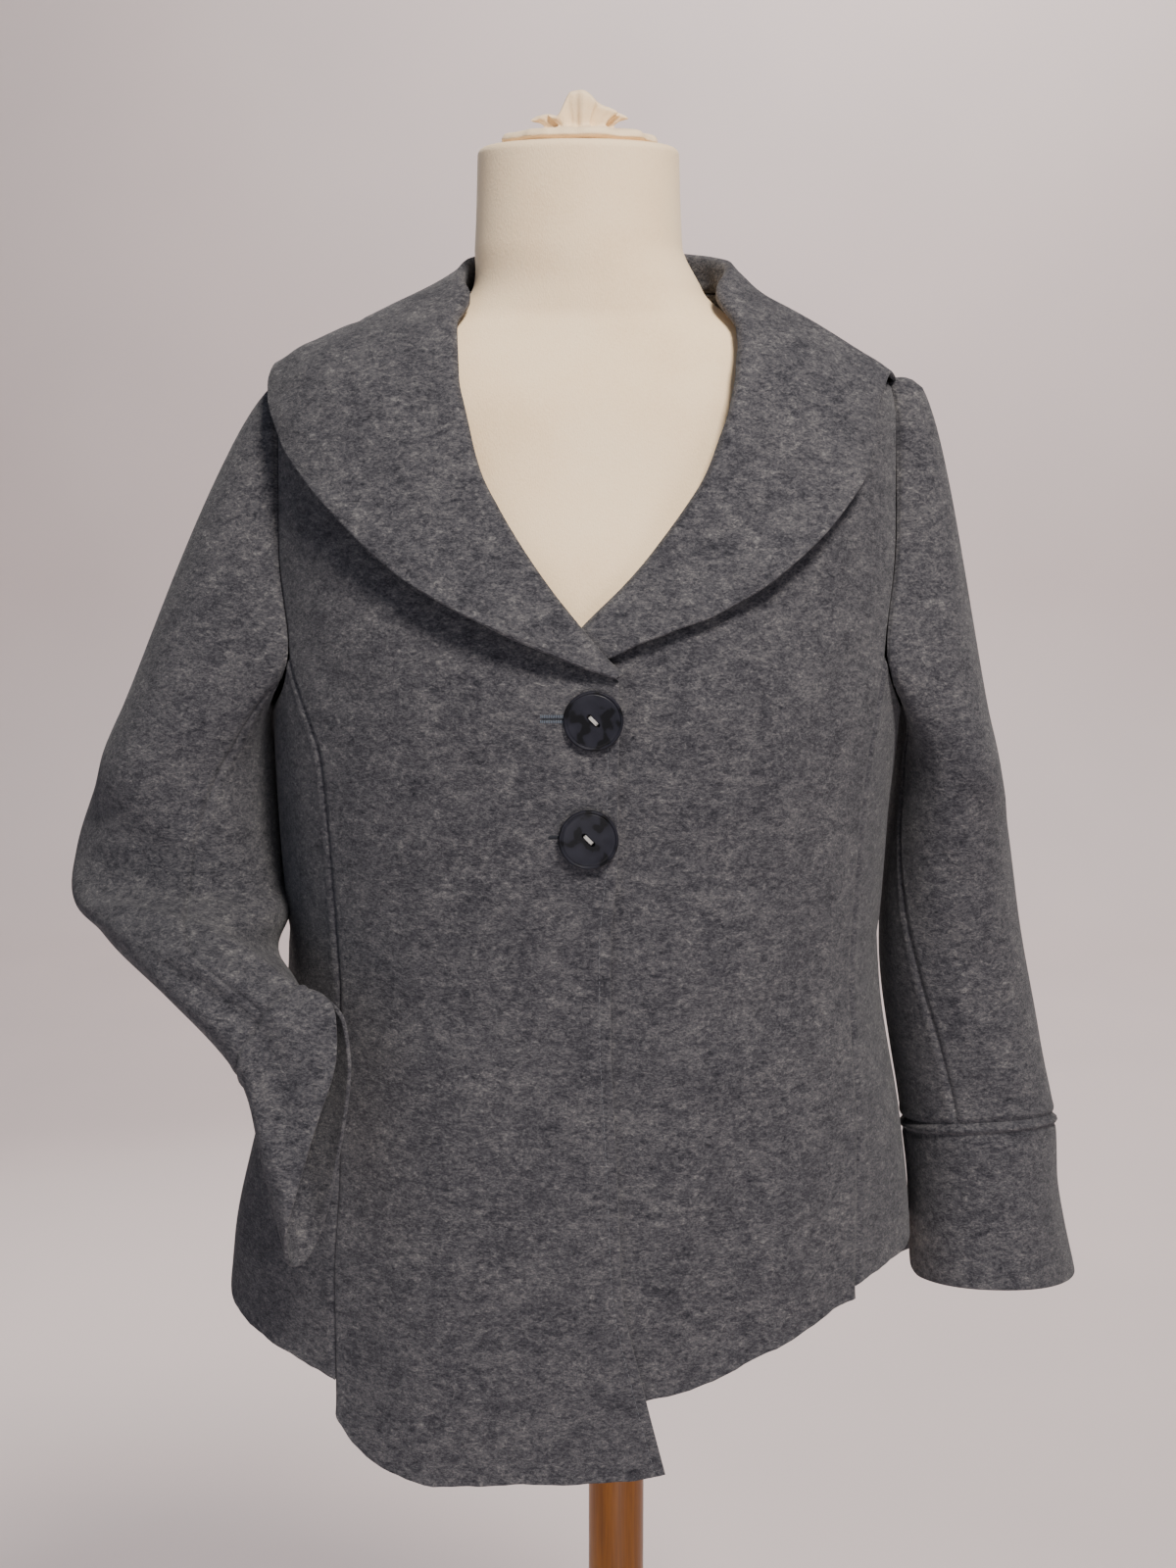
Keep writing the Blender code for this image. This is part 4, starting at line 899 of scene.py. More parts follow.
# %% The surface of the sleeves
def squared(angle):
    """Cosine and sine of a ring angle, drawn out to a squared oval."""
    c, s = np.cos(np.radians(angle)), np.sin(np.radians(angle))
    power = 2 / RING_SQUARE
    return np.sign(c) * np.abs(c) ** power, np.sign(s) * np.abs(s) ** power


def rings(rows, around):
    """Points of every ring of a table at the given ring angles."""
    values = np.stack(list(rows.values())[:9], axis=-1).reshape(-1, 3, 1, 3)
    centre, outer, front = values[:, 0] + [CENTRE_X, 0, 0], values[:, 1], values[:, 2]
    c, s = squared(around)
    narrowed = 1 + rows["drop"][:, None, None] * (np.cos(np.radians(around))[None, :, None] - 1) / 2
    return centre + outer * c[None, :, None] + front * s[None, :, None] * narrowed


def armhole_ring(around, side):
    """First ring of a sleeve: on the edge at the shoulder, outside the body at the underarm."""
    angle, height = armhole(around, side)
    under = ramp(-0.2, -1.0, np.cos(np.radians(around)))
    across = np.abs(np.sin(np.radians(around)))
    lift = HEAD_LIFT + HEAD_LIFT_ACROSS * across + HEAD_LIFT_UNDER * under
    point = on_body(angle, height, np.minimum(lift, HEAD_LIFT_MOST))
    point[..., 0] += OUTSIDE[side] * HEAD_OUT * ramp(0.2, 1.0, np.cos(np.radians(around)))
    return point


def head_tangent(around, side):
    """Direction in which the sleeve leaves the armhole, mixed from four named directions."""
    c, s = np.cos(np.radians(around)), np.sin(np.radians(around))
    weights = {"top": np.maximum(c, 0), "bottom": np.maximum(-c, 0),
               "front": np.maximum(s, 0), "back": np.maximum(-s, 0)}
    total = 0
    for name, (out, fore, up) in SLEEVE_HEAD[side].items():
        total = total + weights[name][:, None] ** 2 * np.array([out * OUTSIDE[side], -fore, up])
    return total


def sleeve_surface(side, around, rows):
    """Points of sleeve and cuff: a ring angle and a row, from 0 at the armhole, for every point."""
    around, rows = np.broadcast_arrays(np.asarray(around, float), np.asarray(rows, float))
    shape = around.shape
    around, rows = around.ravel(), rows.ravel()
    points = np.concatenate([armhole_ring(around, side)[None], rings(RINGS[side], around)])
    tangent = np.gradient(points, axis=0)
    tangent[0] = head_tangent(around, side)
    tangent[1] = tangent[1] * HEAD_EASE
    span = np.clip(np.floor(rows).astype(int), 0, len(points) - 2)
    each = np.arange(len(rows))
    t = np.clip(rows - span, 0, 1)[:, None]
    point = cubic(t, points[span, each], points[span + 1, each], tangent[span, each], tangent[span + 1, each])
    if side == "left":
        after_slit = (around % 360 - CUFF_SLIT_ANGLE) % 360
        below = ramp(CUFF_ROW[side] + 1.15, CUFF_ROW[side] + CUFF_ROWS, rows)
        point[:, 0] -= FLAP_SPREAD * ramp(75, 0, after_slit) * below
    return point.reshape(shape + (3,))


def seam_column(side, rows):
    """Ring angle of the sleeve's front seam at rows along the sleeve."""
    angles = np.append(ARMHOLE_SEAM, RINGS[side]["seam"])
    return smooth(np.arange(len(angles), dtype=float), angles, rows)


def strip(side, start, stop, count, rows):
    """Ring angles between two seams at every row, drawn back by half the seam gap at both."""
    across = [sleeve_surface(side, edge + 0.5, rows) - sleeve_surface(side, edge - 0.5, rows)
              for edge in (start, stop)]
    first, last = [HALF_GAP / np.linalg.norm(step, axis=-1) for step in across]
    share = np.linspace(0, 1, count)
    return (start + first)[:, None] * (1 - share) + (stop - last)[:, None] * share


print("armhole across", round(float(np.ptp(armhole_ring(np.arange(0, 360, 5), "left")[:, 1])), 3))

# %% [markdown]
# A sleeve's creases are placed by ring angle and row. On the bent arm a ridge runs from the elbow to the cuff
# beside a deep trough, and the cuff is pinched where it turns in. The cuffs are cut with a slit, and their lower
# corners are drawn up to quarter circles.

# %% Sleeves and cuffs
RIGHT_CREASES = table(CREASE_COLUMNS, [
    (60.0, 0.7, 110.0, 1.9, 0.014, -0.0022),
    (20.0, 0.9, 60.0, 2.1, 0.016, 0.0012),
    (20.0, 2.1, 110.0, 2.4, 0.016, -0.0030),
    (40.0, 3.9, 125.0, 4.8, 0.011, 0.0034),
    (125.0, 4.7, 165.0, 6.6, 0.011, 0.0040),
    (160.0, 6.0, 168.0, 8.9, 0.010, 0.0036),
    (20.0, 4.4, 60.0, 5.4, 0.013, -0.0016),
    (76.0, 5.0, 92.0, 8.6, 0.018, -0.0080),
    (182.0, 2.4, 186.0, 5.2, 0.022, 0.0034),
    (128.0, 2.6, 118.0, 3.6, 0.013, -0.0022),
    (150.0, 3.1, 165.0, 4.4, 0.013, 0.0026),
    (20.0, 4.6, 10.0, 6.6, 0.014, 0.0014),
    (215.0, 2.4, 250.0, 3.4, 0.013, -0.0022),
    (240.0, 1.2, 290.0, 2.2, 0.015, -0.0020),
    (300.0, 3.0, 330.0, 4.6, 0.014, 0.0020),
    (62.0, 7.6, 55.0, 9.6, 0.012, 0.0024),
    (285.0, 7.2, 300.0, 8.9, 0.014, -0.0020),
])
LEFT_CREASES = table(CREASE_COLUMNS, [
    (110.0, 0.8, 70.0, 1.9, 0.012, -0.0022),
    (60.0, 0.9, 30.0, 2.0, 0.014, 0.0012),
    (120.0, 2.0, 70.0, 2.5, 0.010, -0.0016),
    (115.0, 2.9, 55.0, 3.2, 0.009, -0.0012),
    (100.0, 3.6, 40.0, 3.5, 0.008, -0.0010),
    (105.0, 4.3, 50.0, 4.5, 0.008, 0.0009),
    (85.0, 5.9, 55.0, 5.8, 0.008, -0.0009),
    (75.0, 5.4, 60.0, 6.9, 0.014, 0.0010),
    (30.0, 5.6, 28.0, 6.9, 0.012, -0.0010),
    (250.0, 0.9, 290.0, 2.0, 0.013, -0.0020),
    (300.0, 2.4, 250.0, 2.9, 0.011, -0.0016),
    (245.0, 3.4, 300.0, 3.8, 0.010, -0.0012),
    (290.0, 5.4, 300.0, 6.9, 0.013, -0.0012),
])
SLEEVE_CREASES = {"right": RIGHT_CREASES, "left": LEFT_CREASES}
SLEEVE_DEGREE = 0.0010
SLEEVE_ROW = 0.058
CUFF_RIDGE = {"right": 0.0005, "left": 0.0013}
CUFF_RIDGE_AT, CUFF_RIDGE_WIDTH = 0.0038, 0.0018
CUFF_GROOVE_AT, CUFF_GROOVE_WIDTH, CUFF_GROOVE_SHARE = 0.0076, 0.0012, 0.8
HEAD_RISE = {"right": 0.0, "left": 0.0085}
HEAD_WIDTH = 34.0
HEAD_ROWS = 0.42
PINCH = {"right": 0.013, "left": 0.0}
PINCH_AT = 115.0
PINCH_WIDTH = 30.0
PINCH_ROWS = (7.6, 9.0)


def sleeve_relief(side, around, rows):
    """Creases and a slow unevenness of a sleeve, gone at the armhole, where the top of the head rises instead."""
    total = 0
    for turn in (-360, 0, 360):
        total = total + crease_depth(SLEEVE_CREASES[side], around + turn, rows, SLEEVE_DEGREE, SLEEVE_ROW)
    slow = np.sin(np.radians(around) * 3 + 1.7 * rows) * np.sin(2.3 * rows + np.radians(around))
    head = HEAD_RISE[side] * bell(around, HEAD_WIDTH) * bell(rows, HEAD_ROWS)
    return (total + 0.0005 * slow) * ramp(0.05, 0.5, rows) + head


def on_sleeve(node, side, around, rows, seams):
    """A sleeve piece from a coarse grid of ring angles and rows, refined, creased and turned to run up."""
    coarse = sleeve_surface(side, around, rows * np.ones_like(around))
    down, across = even_places(coarse, 0), even_places(coarse, 1)
    rows = refine(rows * np.ones_like(around), down, across)
    around = refine(around, down, across)
    last = CUFF_ROW[side] + CUFF_ROWS
    aside = sleeve_surface(side, around + 0.5, rows) - sleeve_surface(side, around - 0.5, rows)
    along = (sleeve_surface(side, around, np.minimum(rows + 0.03, last))
             - sleeve_surface(side, around, np.maximum(rows - 0.03, 0)))
    normal = unit(np.cross(aside, along)) * OUTSIDE[side]
    middle = sleeve_surface(side, around, rows) + normal * sleeve_relief(side, around, rows)[..., None]
    order = slice(None, None, -1) if side == "left" else slice(None)
    middle[..., 0] += PINCH[side] * bell(around - PINCH_AT, PINCH_WIDTH) * ramp(*PINCH_ROWS, rows)
    middle, normal = middle[::-1, order], normal[::-1, order]
    relief = 0.0
    if node.endswith("cuff"):
        away = border_distance(middle)["top"]
        groove = CUFF_GROOVE_SHARE * bell(away - CUFF_GROOVE_AT, CUFF_GROOVE_WIDTH)
        relief = CUFF_RIDGE[side] * (bell(away - CUFF_RIDGE_AT, CUFF_RIDGE_WIDTH) - groove)
    reach = {"top": SEAM_REACH if node.endswith("cuff") else ARMHOLE_REACH}
    return cloth(node, middle, normal, seams, relief, reach)


def cuff_grid(side):
    """Coarse grid of a cuff: round from slit to slit, its lower corners drawn up to quarter circles."""
    around = CUFF_SLIT_ANGLE + np.linspace(1.0, 359.0, 29)
    start = CUFF_ROW[side] + ROW_GAP
    end = CUFF_ROW[side] + CUFF_ROWS
    rim = sleeve_surface(side, around, end)
    along = travelled(rim)
    near = np.clip(1 - np.minimum(along, along[-1] - along) / CUFF_CORNER, 0, 1)
    rounded = CUFF_CORNER * (1 - np.sqrt(1 - near ** 2))
    depth = np.linalg.norm(rim - sleeve_surface(side, around, start), axis=1)
    last = end - CUFF_ROWS * CUFF_CORNER_DEPTH * rounded / depth
    rows = start + (last - start) * np.linspace(0, 1, 7)[:, None]
    return np.tile(around, (7, 1)), rows


for side in ("right", "left"):
    end = CUFF_ROW[side]
    rows = np.concatenate([np.linspace(0, 1, 6, endpoint=False), np.linspace(1, end - ROW_GAP, 2 * end - 1)])
    seam = seam_column(side, rows)
    back_seam = np.full(rows.shape, BACK_SLEEVE_SEAM)
    ends = ("first", "last", "bottom", "top")
    on_sleeve(side + "_upper_sleeve", side, strip(side, back_seam - 360, seam, 19, rows), rows[:, None], ends)
    on_sleeve(side + "_under_sleeve", side, strip(side, seam, back_seam, 8, rows), rows[:, None], ends)
    on_sleeve(side + "_cuff", side, *cuff_grid(side), ("top",))

# %% [markdown]
# Threads are thin tubes carried along short paths. All paths of one kind are worked out together as one array,
# so a hundred stitches cost no more code than one: a stitch rises from the cloth, lies on it and dips back.

# %% Threads
def ring_faces(rings_count, sides, count=1):
    """Faces of turned shapes: walls between rings that close round, and a flat face on the first and the last."""
    index = np.arange(count * rings_count * sides).reshape(count, rings_count, sides)
    after = np.roll(index, -1, axis=2)
    walls = np.stack([index[:, :-1], after[:, :-1], after[:, 1:], index[:, 1:]], axis=-1).reshape(-1, 4)
    return walls.tolist() + index[:, 0, ::-1].tolist() + index[:, -1].tolist()


def tubes(name, paths, radius, sides):
    """Round tubes along many paths at once: each point gets a ring of the radius across its path, ends drawn in."""
    count, points = paths.shape[:2]
    ahead = unit(np.gradient(paths, axis=1))
    helper = np.where(np.abs(ahead[..., 2:]) > 0.9, [[[1.0, 0, 0]]], [[[0, 0, 1.0]]])
    one = unit(np.cross(ahead, helper))
    two = np.cross(ahead, one)
    turn = np.linspace(0, 2 * np.pi, sides, endpoint=False)
    taper = np.ones(points)
    taper[[0, -1]] = 0.25
    ring = one[:, :, None] * np.cos(turn)[None, None, :, None] + two[:, :, None] * np.sin(turn)[None, None, :, None]
    shape = paths[:, :, None] + ring * (radius * taper)[None, :, None, None]
    return fill(name, shape, ring_faces(points, sides, count))


def stitch_paths(points, ahead, up, length, rise):
    """Stitches at points: each lies along ahead, arched by a quarter of its ends' dip towards up."""
    share = np.linspace(-0.5, 0.5, 7)
    arch = rise * (1 - (2 * share) ** 4) - 0.0003
    return (points[:, None] + ahead[:, None] * (share * length)[None, :, None]
            + up[:, None] * arch[None, :, None])


STITCH_PITCH = 0.0036
STITCH_LENGTH = 0.0027
right_middle = front_middles["right"]
inset = border_distance(right_middle)["last"]
rows_below = right_middle[:, -1, 2] < BREAK_HEIGHT - 0.012
weight = bell(inset - STITCH_INSET, 0.0004)[..., None]
line = ((right_middle * weight).sum(axis=1) / weight.sum(axis=1))[rows_below]
line_up = facing(right_middle)[:, -8][rows_below]
along_line = travelled(line)
places = np.arange(STITCH_PITCH, along_line[-1] - STITCH_PITCH, STITCH_PITCH)
spots, ups = (np.stack([np.interp(places, along_line, values[:, k]) for k in range(3)], axis=-1)
              for values in (line, line_up))
ups = unit(ups)
aheads = unit(np.gradient(spots, axis=0))
tubes("front_edge_stitches", stitch_paths(spots + ups * (WALL / 2 - STITCH_GROOVE + 0.00012), aheads, ups,
                                          STITCH_LENGTH, 0.00022), 0.00019, 6)
print("stitches on the front edge", len(spots))

# %% [markdown]
# The buttons are large and flat, with a fine groove inside the rim, two holes and a few turns of pale thread.
# The dish is a profile turned round its axis; the holes are cut with drills so that the edge of each is real.

# %% Buttons
BUTTON_RADIUS = 0.0178
BUTTON_THICKNESS = 0.0045
BUTTON_HOLE_RADIUS = 0.0016
BUTTON_HOLE_OFFSET = 0.0034
BUTTON_HOLE_TURN = math.radians(-45)
BUTTON_RINGS, BUTTON_SIDES = 60, 96
BUTTON_SPOTS = {"button_upper": (0.0036, 1.154, -0.0010), "button_lower": (0.0008, 1.084, 0.0006)}
BUTTON_PROFILE = table("radius height", [
    (0.00, 0.50), (0.40, 0.54), (0.70, 0.62), (0.84, 0.70), (0.875, 0.60), (0.895, 0.62), (0.925, 0.90),
    (0.955, 0.94), (0.985, 0.62), (1.00, 0.10), (0.99, -0.45), (0.93, -0.85), (0.85, -1.00), (0.00, -1.00)])


def button_frame(across, height, lift):
    """Seat and three axes of a button: the body's outward direction and two directions in its face."""
    angle = front_angle(np.array([across]), np.array([height]))
    normal = outward(angle, np.array([height]))[0]
    seat = on_body(angle, np.array([height]), np.array([WALL / 2 + lift + BUTTON_THICKNESS / 2]))[0]
    aside = unit(np.array([-normal[1], normal[0], 0.0]))
    return seat, np.array([aside, np.cross(normal, aside), normal])


def turned_points(radius, height, sides):
    """Rings of a turned shape round the third axis, one for each profile point."""
    turn = np.linspace(0, 2 * np.pi, sides, endpoint=False)
    return np.stack([radius[:, None] * np.cos(turn), radius[:, None] * np.sin(turn),
                     height[:, None] * np.ones(sides)], axis=-1)


def drill(piece, centre, axes, radius, length):
    """Cuts a round hole: a cylinder made as a mesh, a Boolean difference, and its result kept as the mesh."""
    points = turned_points(np.array([radius, radius]), np.array([-length, length]), 20) @ axes + centre
    tool = add_mesh("drill", points, ring_faces(2, 20))
    cut = piece.modifiers.new("hole", "BOOLEAN")
    cut.operation = "DIFFERENCE"
    cut.solver = "EXACT"
    cut.object = tool
    bpy.context.view_layer.update()
    result = bpy.data.meshes.new_from_object(piece.evaluated_get(bpy.context.evaluated_depsgraph_get()))
    piece.modifiers.remove(cut)
    piece.data = result
    bpy.data.objects.remove(tool, do_unlink=True)


for node, (across, height, lift) in BUTTON_SPOTS.items():
    seat, axes = button_frame(across, height, lift)
    radius, rise = read_rows(BUTTON_PROFILE, BUTTON_RINGS, 0.04)
    points = turned_points(radius * BUTTON_RADIUS, rise * BUTTON_THICKNESS / 2, BUTTON_SIDES)[::-1] @ axes + seat
    button = fill(node + "_disc", points, ring_faces(BUTTON_RINGS, BUTTON_SIDES), node)
    holes = []
    for turn in (0, math.pi):
        spot = np.array([math.cos(BUTTON_HOLE_TURN + turn), math.sin(BUTTON_HOLE_TURN + turn), 0])
        holes.append(seat + (spot * BUTTON_HOLE_OFFSET) @ axes)
        drill(button, holes[-1], axes, BUTTON_HOLE_RADIUS, BUTTON_THICKNESS)
    button.data.shade_smooth()
    button.data.set_sharp_from_angle(angle=math.radians(35))
    reach_up = np.linspace(-1, 1, 15)
    rise = axes[2] * BUTTON_THICKNESS / 2 * 0.56
    middle = (holes[0] + holes[1]) / 2
    half_way = (holes[0] - holes[1]) / 2
    aside = unit(np.cross(half_way, axes[2]))
    lift_up = (0.0007 * (1 - reach_up ** 4) - 0.0022 * np.abs(reach_up) ** 10)[:, None] * axes[2]
    threads = [middle + rise + reach_up[:, None] * half_way + lift_up + aside * shift
               for shift in (-0.0007, 0.0, 0.0007)]
    tubes(node + "_thread", np.array(threads), 0.00036, 8)
print("buttons", len(BUTTON_SPOTS))

# %% [markdown]
# Each button pulls at the end of a horizontal buttonhole that peeks out beside it. The upper one shows its
# blue stitches, and the lower one gapes as a short slit. Both are laid on the cloth as thin tubes: the stitches,
# and over each gap a near-black tube of painted shade, since the cloth itself is not cut.

# %% Buttonholes
HOLE_STITCH_PITCH = 0.0010
HOLE_STITCH_LENGTH, HOLE_STITCH_RISE, HOLE_STITCH_RADIUS = 0.0021, 0.0003, 0.00030
HOLE_HALF_WIDTH = 0.0015
HOLES = table("reach gape stitches", [
    (0.0130, 0.0005, 1.0),
    (0.0062, 0.0011, 0.0),
])
for (node, (spot, height, lift)), reach, gape, stitches in zip(BUTTON_SPOTS.items(), *HOLES.values()):
    across = np.arange(spot - BUTTON_RADIUS - reach, spot - BUTTON_RADIUS + 0.004, HOLE_STITCH_PITCH)
    level = np.full(across.shape, height + 0.0010)
    angle = front_angle(across, level)
    up = outward(angle, level)
    on_top = on_body(angle, level, body_relief(angle, level) + WALL / 2)
    rise = unit(np.cross(np.gradient(on_top, axis=0), up))
    rise = rise * np.sign(rise[:, 2:])
    # Painted shade: a near-black tube as wide as the gape stands for the shadow inside the opening.
    tubes(node + "_slit", (on_top - up * gape * 0.3)[None], gape, 10)
    if stitches:
        for name, side in (("upper", 1), ("lower", -1)):
            spots = on_top + rise * side * HOLE_HALF_WIDTH + up * 0.00022
            paths = stitch_paths(spots, rise, up, HOLE_STITCH_LENGTH, HOLE_STITCH_RISE)
            tubes(f"{node}_hole_stitches_{name}", paths, HOLE_STITCH_RADIUS, 6)
print("buttonholes", len(BUTTON_SPOTS))

# %% [markdown]
# The dress form under the jacket is a smooth padded torso in pale jersey, drawn together on top of the neck
# into a low pleated disc, from which a flat fan of cloth stands up. The form is a stack of ovals again; the
# gathered end is a profile of rings that carry pleats, are pressed flat towards the top and rise to a crest.

# %% The dress form
FORM_BOTTOM = 0.800
FORM_TOP = 1.500
FORM_CHEST = 1.300
FORM_CLEARANCE = 0.0008
FORM_EDGE = 0.020
FORM_TOP_EDGE = 0.0050


def form_size(name, height):
    """One size of the dress form's section, held just inside the jacket where the jacket rests on it."""
    own = column(FORM, name, height)
    if name == "square":
        return own
    near = column(BODY, name, height)
    slope = (column(BODY, name, height + 0.001) - near) / 0.001
    return np.minimum(own, near - (WALL / 2 + FORM_CLEARANCE) * np.sqrt(1 + slope ** 2))


def form_point(angle, height):
    """Surface of the dress form."""
    x, y = oval(angle, *(form_size(name, height) for name in OVAL_COLUMNS))
    x = x + column(FORM, "sway", height)
    return np.stack([x + CENTRE_X, y, height - shoulder_drop(x, height)], axis=-1)


def form():
    """Rings of the form from its rounded lower edge to the softly rounded top of the neck."""
    angle = np.linspace(0, 360, 160, endpoint=False)
    low_turn = np.radians(np.linspace(90, 0, 9))[:-1]
    top_turn = np.radians(np.linspace(0, 90, 8))[1:]
    low, high = FORM_BOTTOM + FORM_EDGE, FORM_TOP - FORM_TOP_EDGE
    straight = np.append(np.linspace(low, FORM_CHEST, 60), np.linspace(FORM_CHEST, high, 90)[1:])
    heights = np.concatenate([np.full(len(low_turn), low), straight, np.full(len(top_turn), high)])
    still = np.zeros(len(straight))
    inset = np.concatenate([FORM_EDGE * (1 - np.cos(low_turn)), still, FORM_TOP_EDGE * (1 - np.cos(top_turn))])
    shift = np.concatenate([-FORM_EDGE * np.sin(low_turn), still, FORM_TOP_EDGE * np.sin(top_turn)])
    grid = form_point(angle[None, :], heights[:, None] * np.ones((1, len(angle))))
    middle = grid.mean(axis=1, keepdims=True)
    away = np.linalg.norm((grid - middle)[..., :2], axis=-1, keepdims=True)
    grid[..., :2] = (middle + (grid - middle) * (1 - inset[:, None, None] / away))[..., :2]
    grid[..., 2] = heights[:, None] + shift[:, None]
    fill("form_cover", grid, ring_faces(len(heights), len(angle)), "form")


TUFT_RINGS, TUFT_SIDES = 84, 288


def crest(across):
    """Share of the fan's height at a distance to the left of its middle: steep to the right, with a low stub."""
    return smooth(np.array([-0.031, -0.021, -0.014, -0.005, 0.002, 0.012, 0.022, 0.031]),
                  np.array([0.05, 0.22, 0.18, 0.90, 1.00, 0.62, 0.36, 0.15]), across)


def neck_gather():
    """Rings with pleats, cos(9a) + 0.35 cos(5a + 0.7) + 0.3 cos(23a + 2), that rise by the crest above them."""
    profile = table("radius height pleat flat peak", [
        (0.0450, 0.0000, 0.0000, 1.00, 0.0),
        (0.0490, 0.0030, 0.0008, 1.00, 0.0),
        (0.0460, 0.0068, 0.0016, 1.00, 0.0),
        (0.0360, 0.0086, 0.0022, 0.95, 0.0),
        (0.0240, 0.0102, 0.0026, 0.80, 0.0),
        (0.0190, 0.0122, 0.0026, 0.62, 0.0010),
        (0.0230, 0.0136, 0.0026, 0.50, 0.0090),
        (0.0285, 0.0150, 0.0024, 0.40, 0.0180),
        (0.0260, 0.0160, 0.0016, 0.30, 0.0190),
        (0.0120, 0.0156, 0.0006, 0.26, 0.0170),
    ])
    radius, height, pleat, flat, peak = (values[:, None] for values in read_rows(profile, TUFT_RINGS))
    angle = np.linspace(0, 2 * np.pi, TUFT_SIDES, endpoint=False)
    waves = np.cos(9 * angle) + 0.35 * np.cos(5 * angle + 0.7) + 0.3 * np.cos(23 * angle + 2)
    radius = radius + pleat * np.sign(waves) * np.abs(waves) ** 0.8
    across = radius * np.cos(angle)
    rise = height + peak * crest(np.clip(across, -0.031, 0.031)) + 0.25 * pleat * np.cos(11 * angle + 1)
    top = form_point(np.array([0.0, 180.0]), np.array([FORM_TOP, FORM_TOP])).mean(axis=0)
    points = np.stack([top[0] + across, top[1] + radius * flat * np.sin(angle),
                       top[2] + SEAM_GAP + rise], axis=-1)
    fill("neck_tuft", points, ring_faces(TUFT_RINGS, TUFT_SIDES), "neck_gather")


form()
neck_gather()

# %% [markdown]
# The form stands on a round wooden pole. Its foot is out of the picture, so it is a plain turned disc of the
# same wood, the usual one for such a form.

# %% Pole and foot
POLE_RADIUS = 0.019
POLE_FOOT = 0.0523
POLE_SIDES = 72
FOOT_RINGS, FOOT_SIDES = 120, 120
FOOT_PROFILE = table("radius height", [
    (0.0001, 0.0520), (0.0290, 0.0520), (0.0325, 0.0512), (0.0338, 0.0495), (0.0345, 0.0465), (0.0380, 0.0412),
    (0.0450, 0.0375), (0.0600, 0.0340), (0.1000, 0.0250), (0.1500, 0.0180), (0.1840, 0.0142), (0.1880, 0.0132),
    (0.1898, 0.0110), (0.1900, 0.0075), (0.1898, 0.0030), (0.1885, 0.0008), (0.1870, 0.0000), (0.0001, 0.0000)])


def pole_and_foot():
    """A straight turned pole with eased ends, and the foot's profile read smoothly and turned."""
    height = np.concatenate([[POLE_FOOT, POLE_FOOT + 0.0004], np.linspace(POLE_FOOT + 0.001, 0.7986, 60),
                             [0.7993, FORM_BOTTOM - SEAM_GAP]])
    radius = np.full(height.shape, POLE_RADIUS)
    radius[[0, -1]] -= 0.0006
    radius[[1, -2]] -= 0.0002
    points = turned_points(radius, height, POLE_SIDES)
    fill("pole_wood", points, ring_faces(len(height), POLE_SIDES), "pole")
    points = turned_points(*read_rows(FOOT_PROFILE, FOOT_RINGS), FOOT_SIDES)[::-1]
    fill("foot_wood", points, ring_faces(FOOT_RINGS, FOOT_SIDES), "base")


pole_and_foot()
print("pieces", len(made))

# %% [markdown]
# Finishes are node graphs. Writing each node and link by hand hides what is meant, so a small class wraps a
# socket: adding or multiplying two of them adds the Math node, and the finish reads like a formula.

# %% A small language for shaders
class Signal:
    """A number that varies over the surface; arithmetic on it adds Math nodes to its finish."""

    def __init__(self, finish, socket):
        self.finish = finish
        self.socket = socket

    def __add__(self, other):
        return self.finish.math("ADD", self, other)

    def __sub__(self, other):
        return self.finish.math("SUBTRACT", self, other)

    def __rsub__(self, other):
        return self.finish.math("SUBTRACT", other, self)

    def __mul__(self, other):
        return self.finish.math("MULTIPLY", self, other)

    __radd__ = __add__
    __rmul__ = __mul__


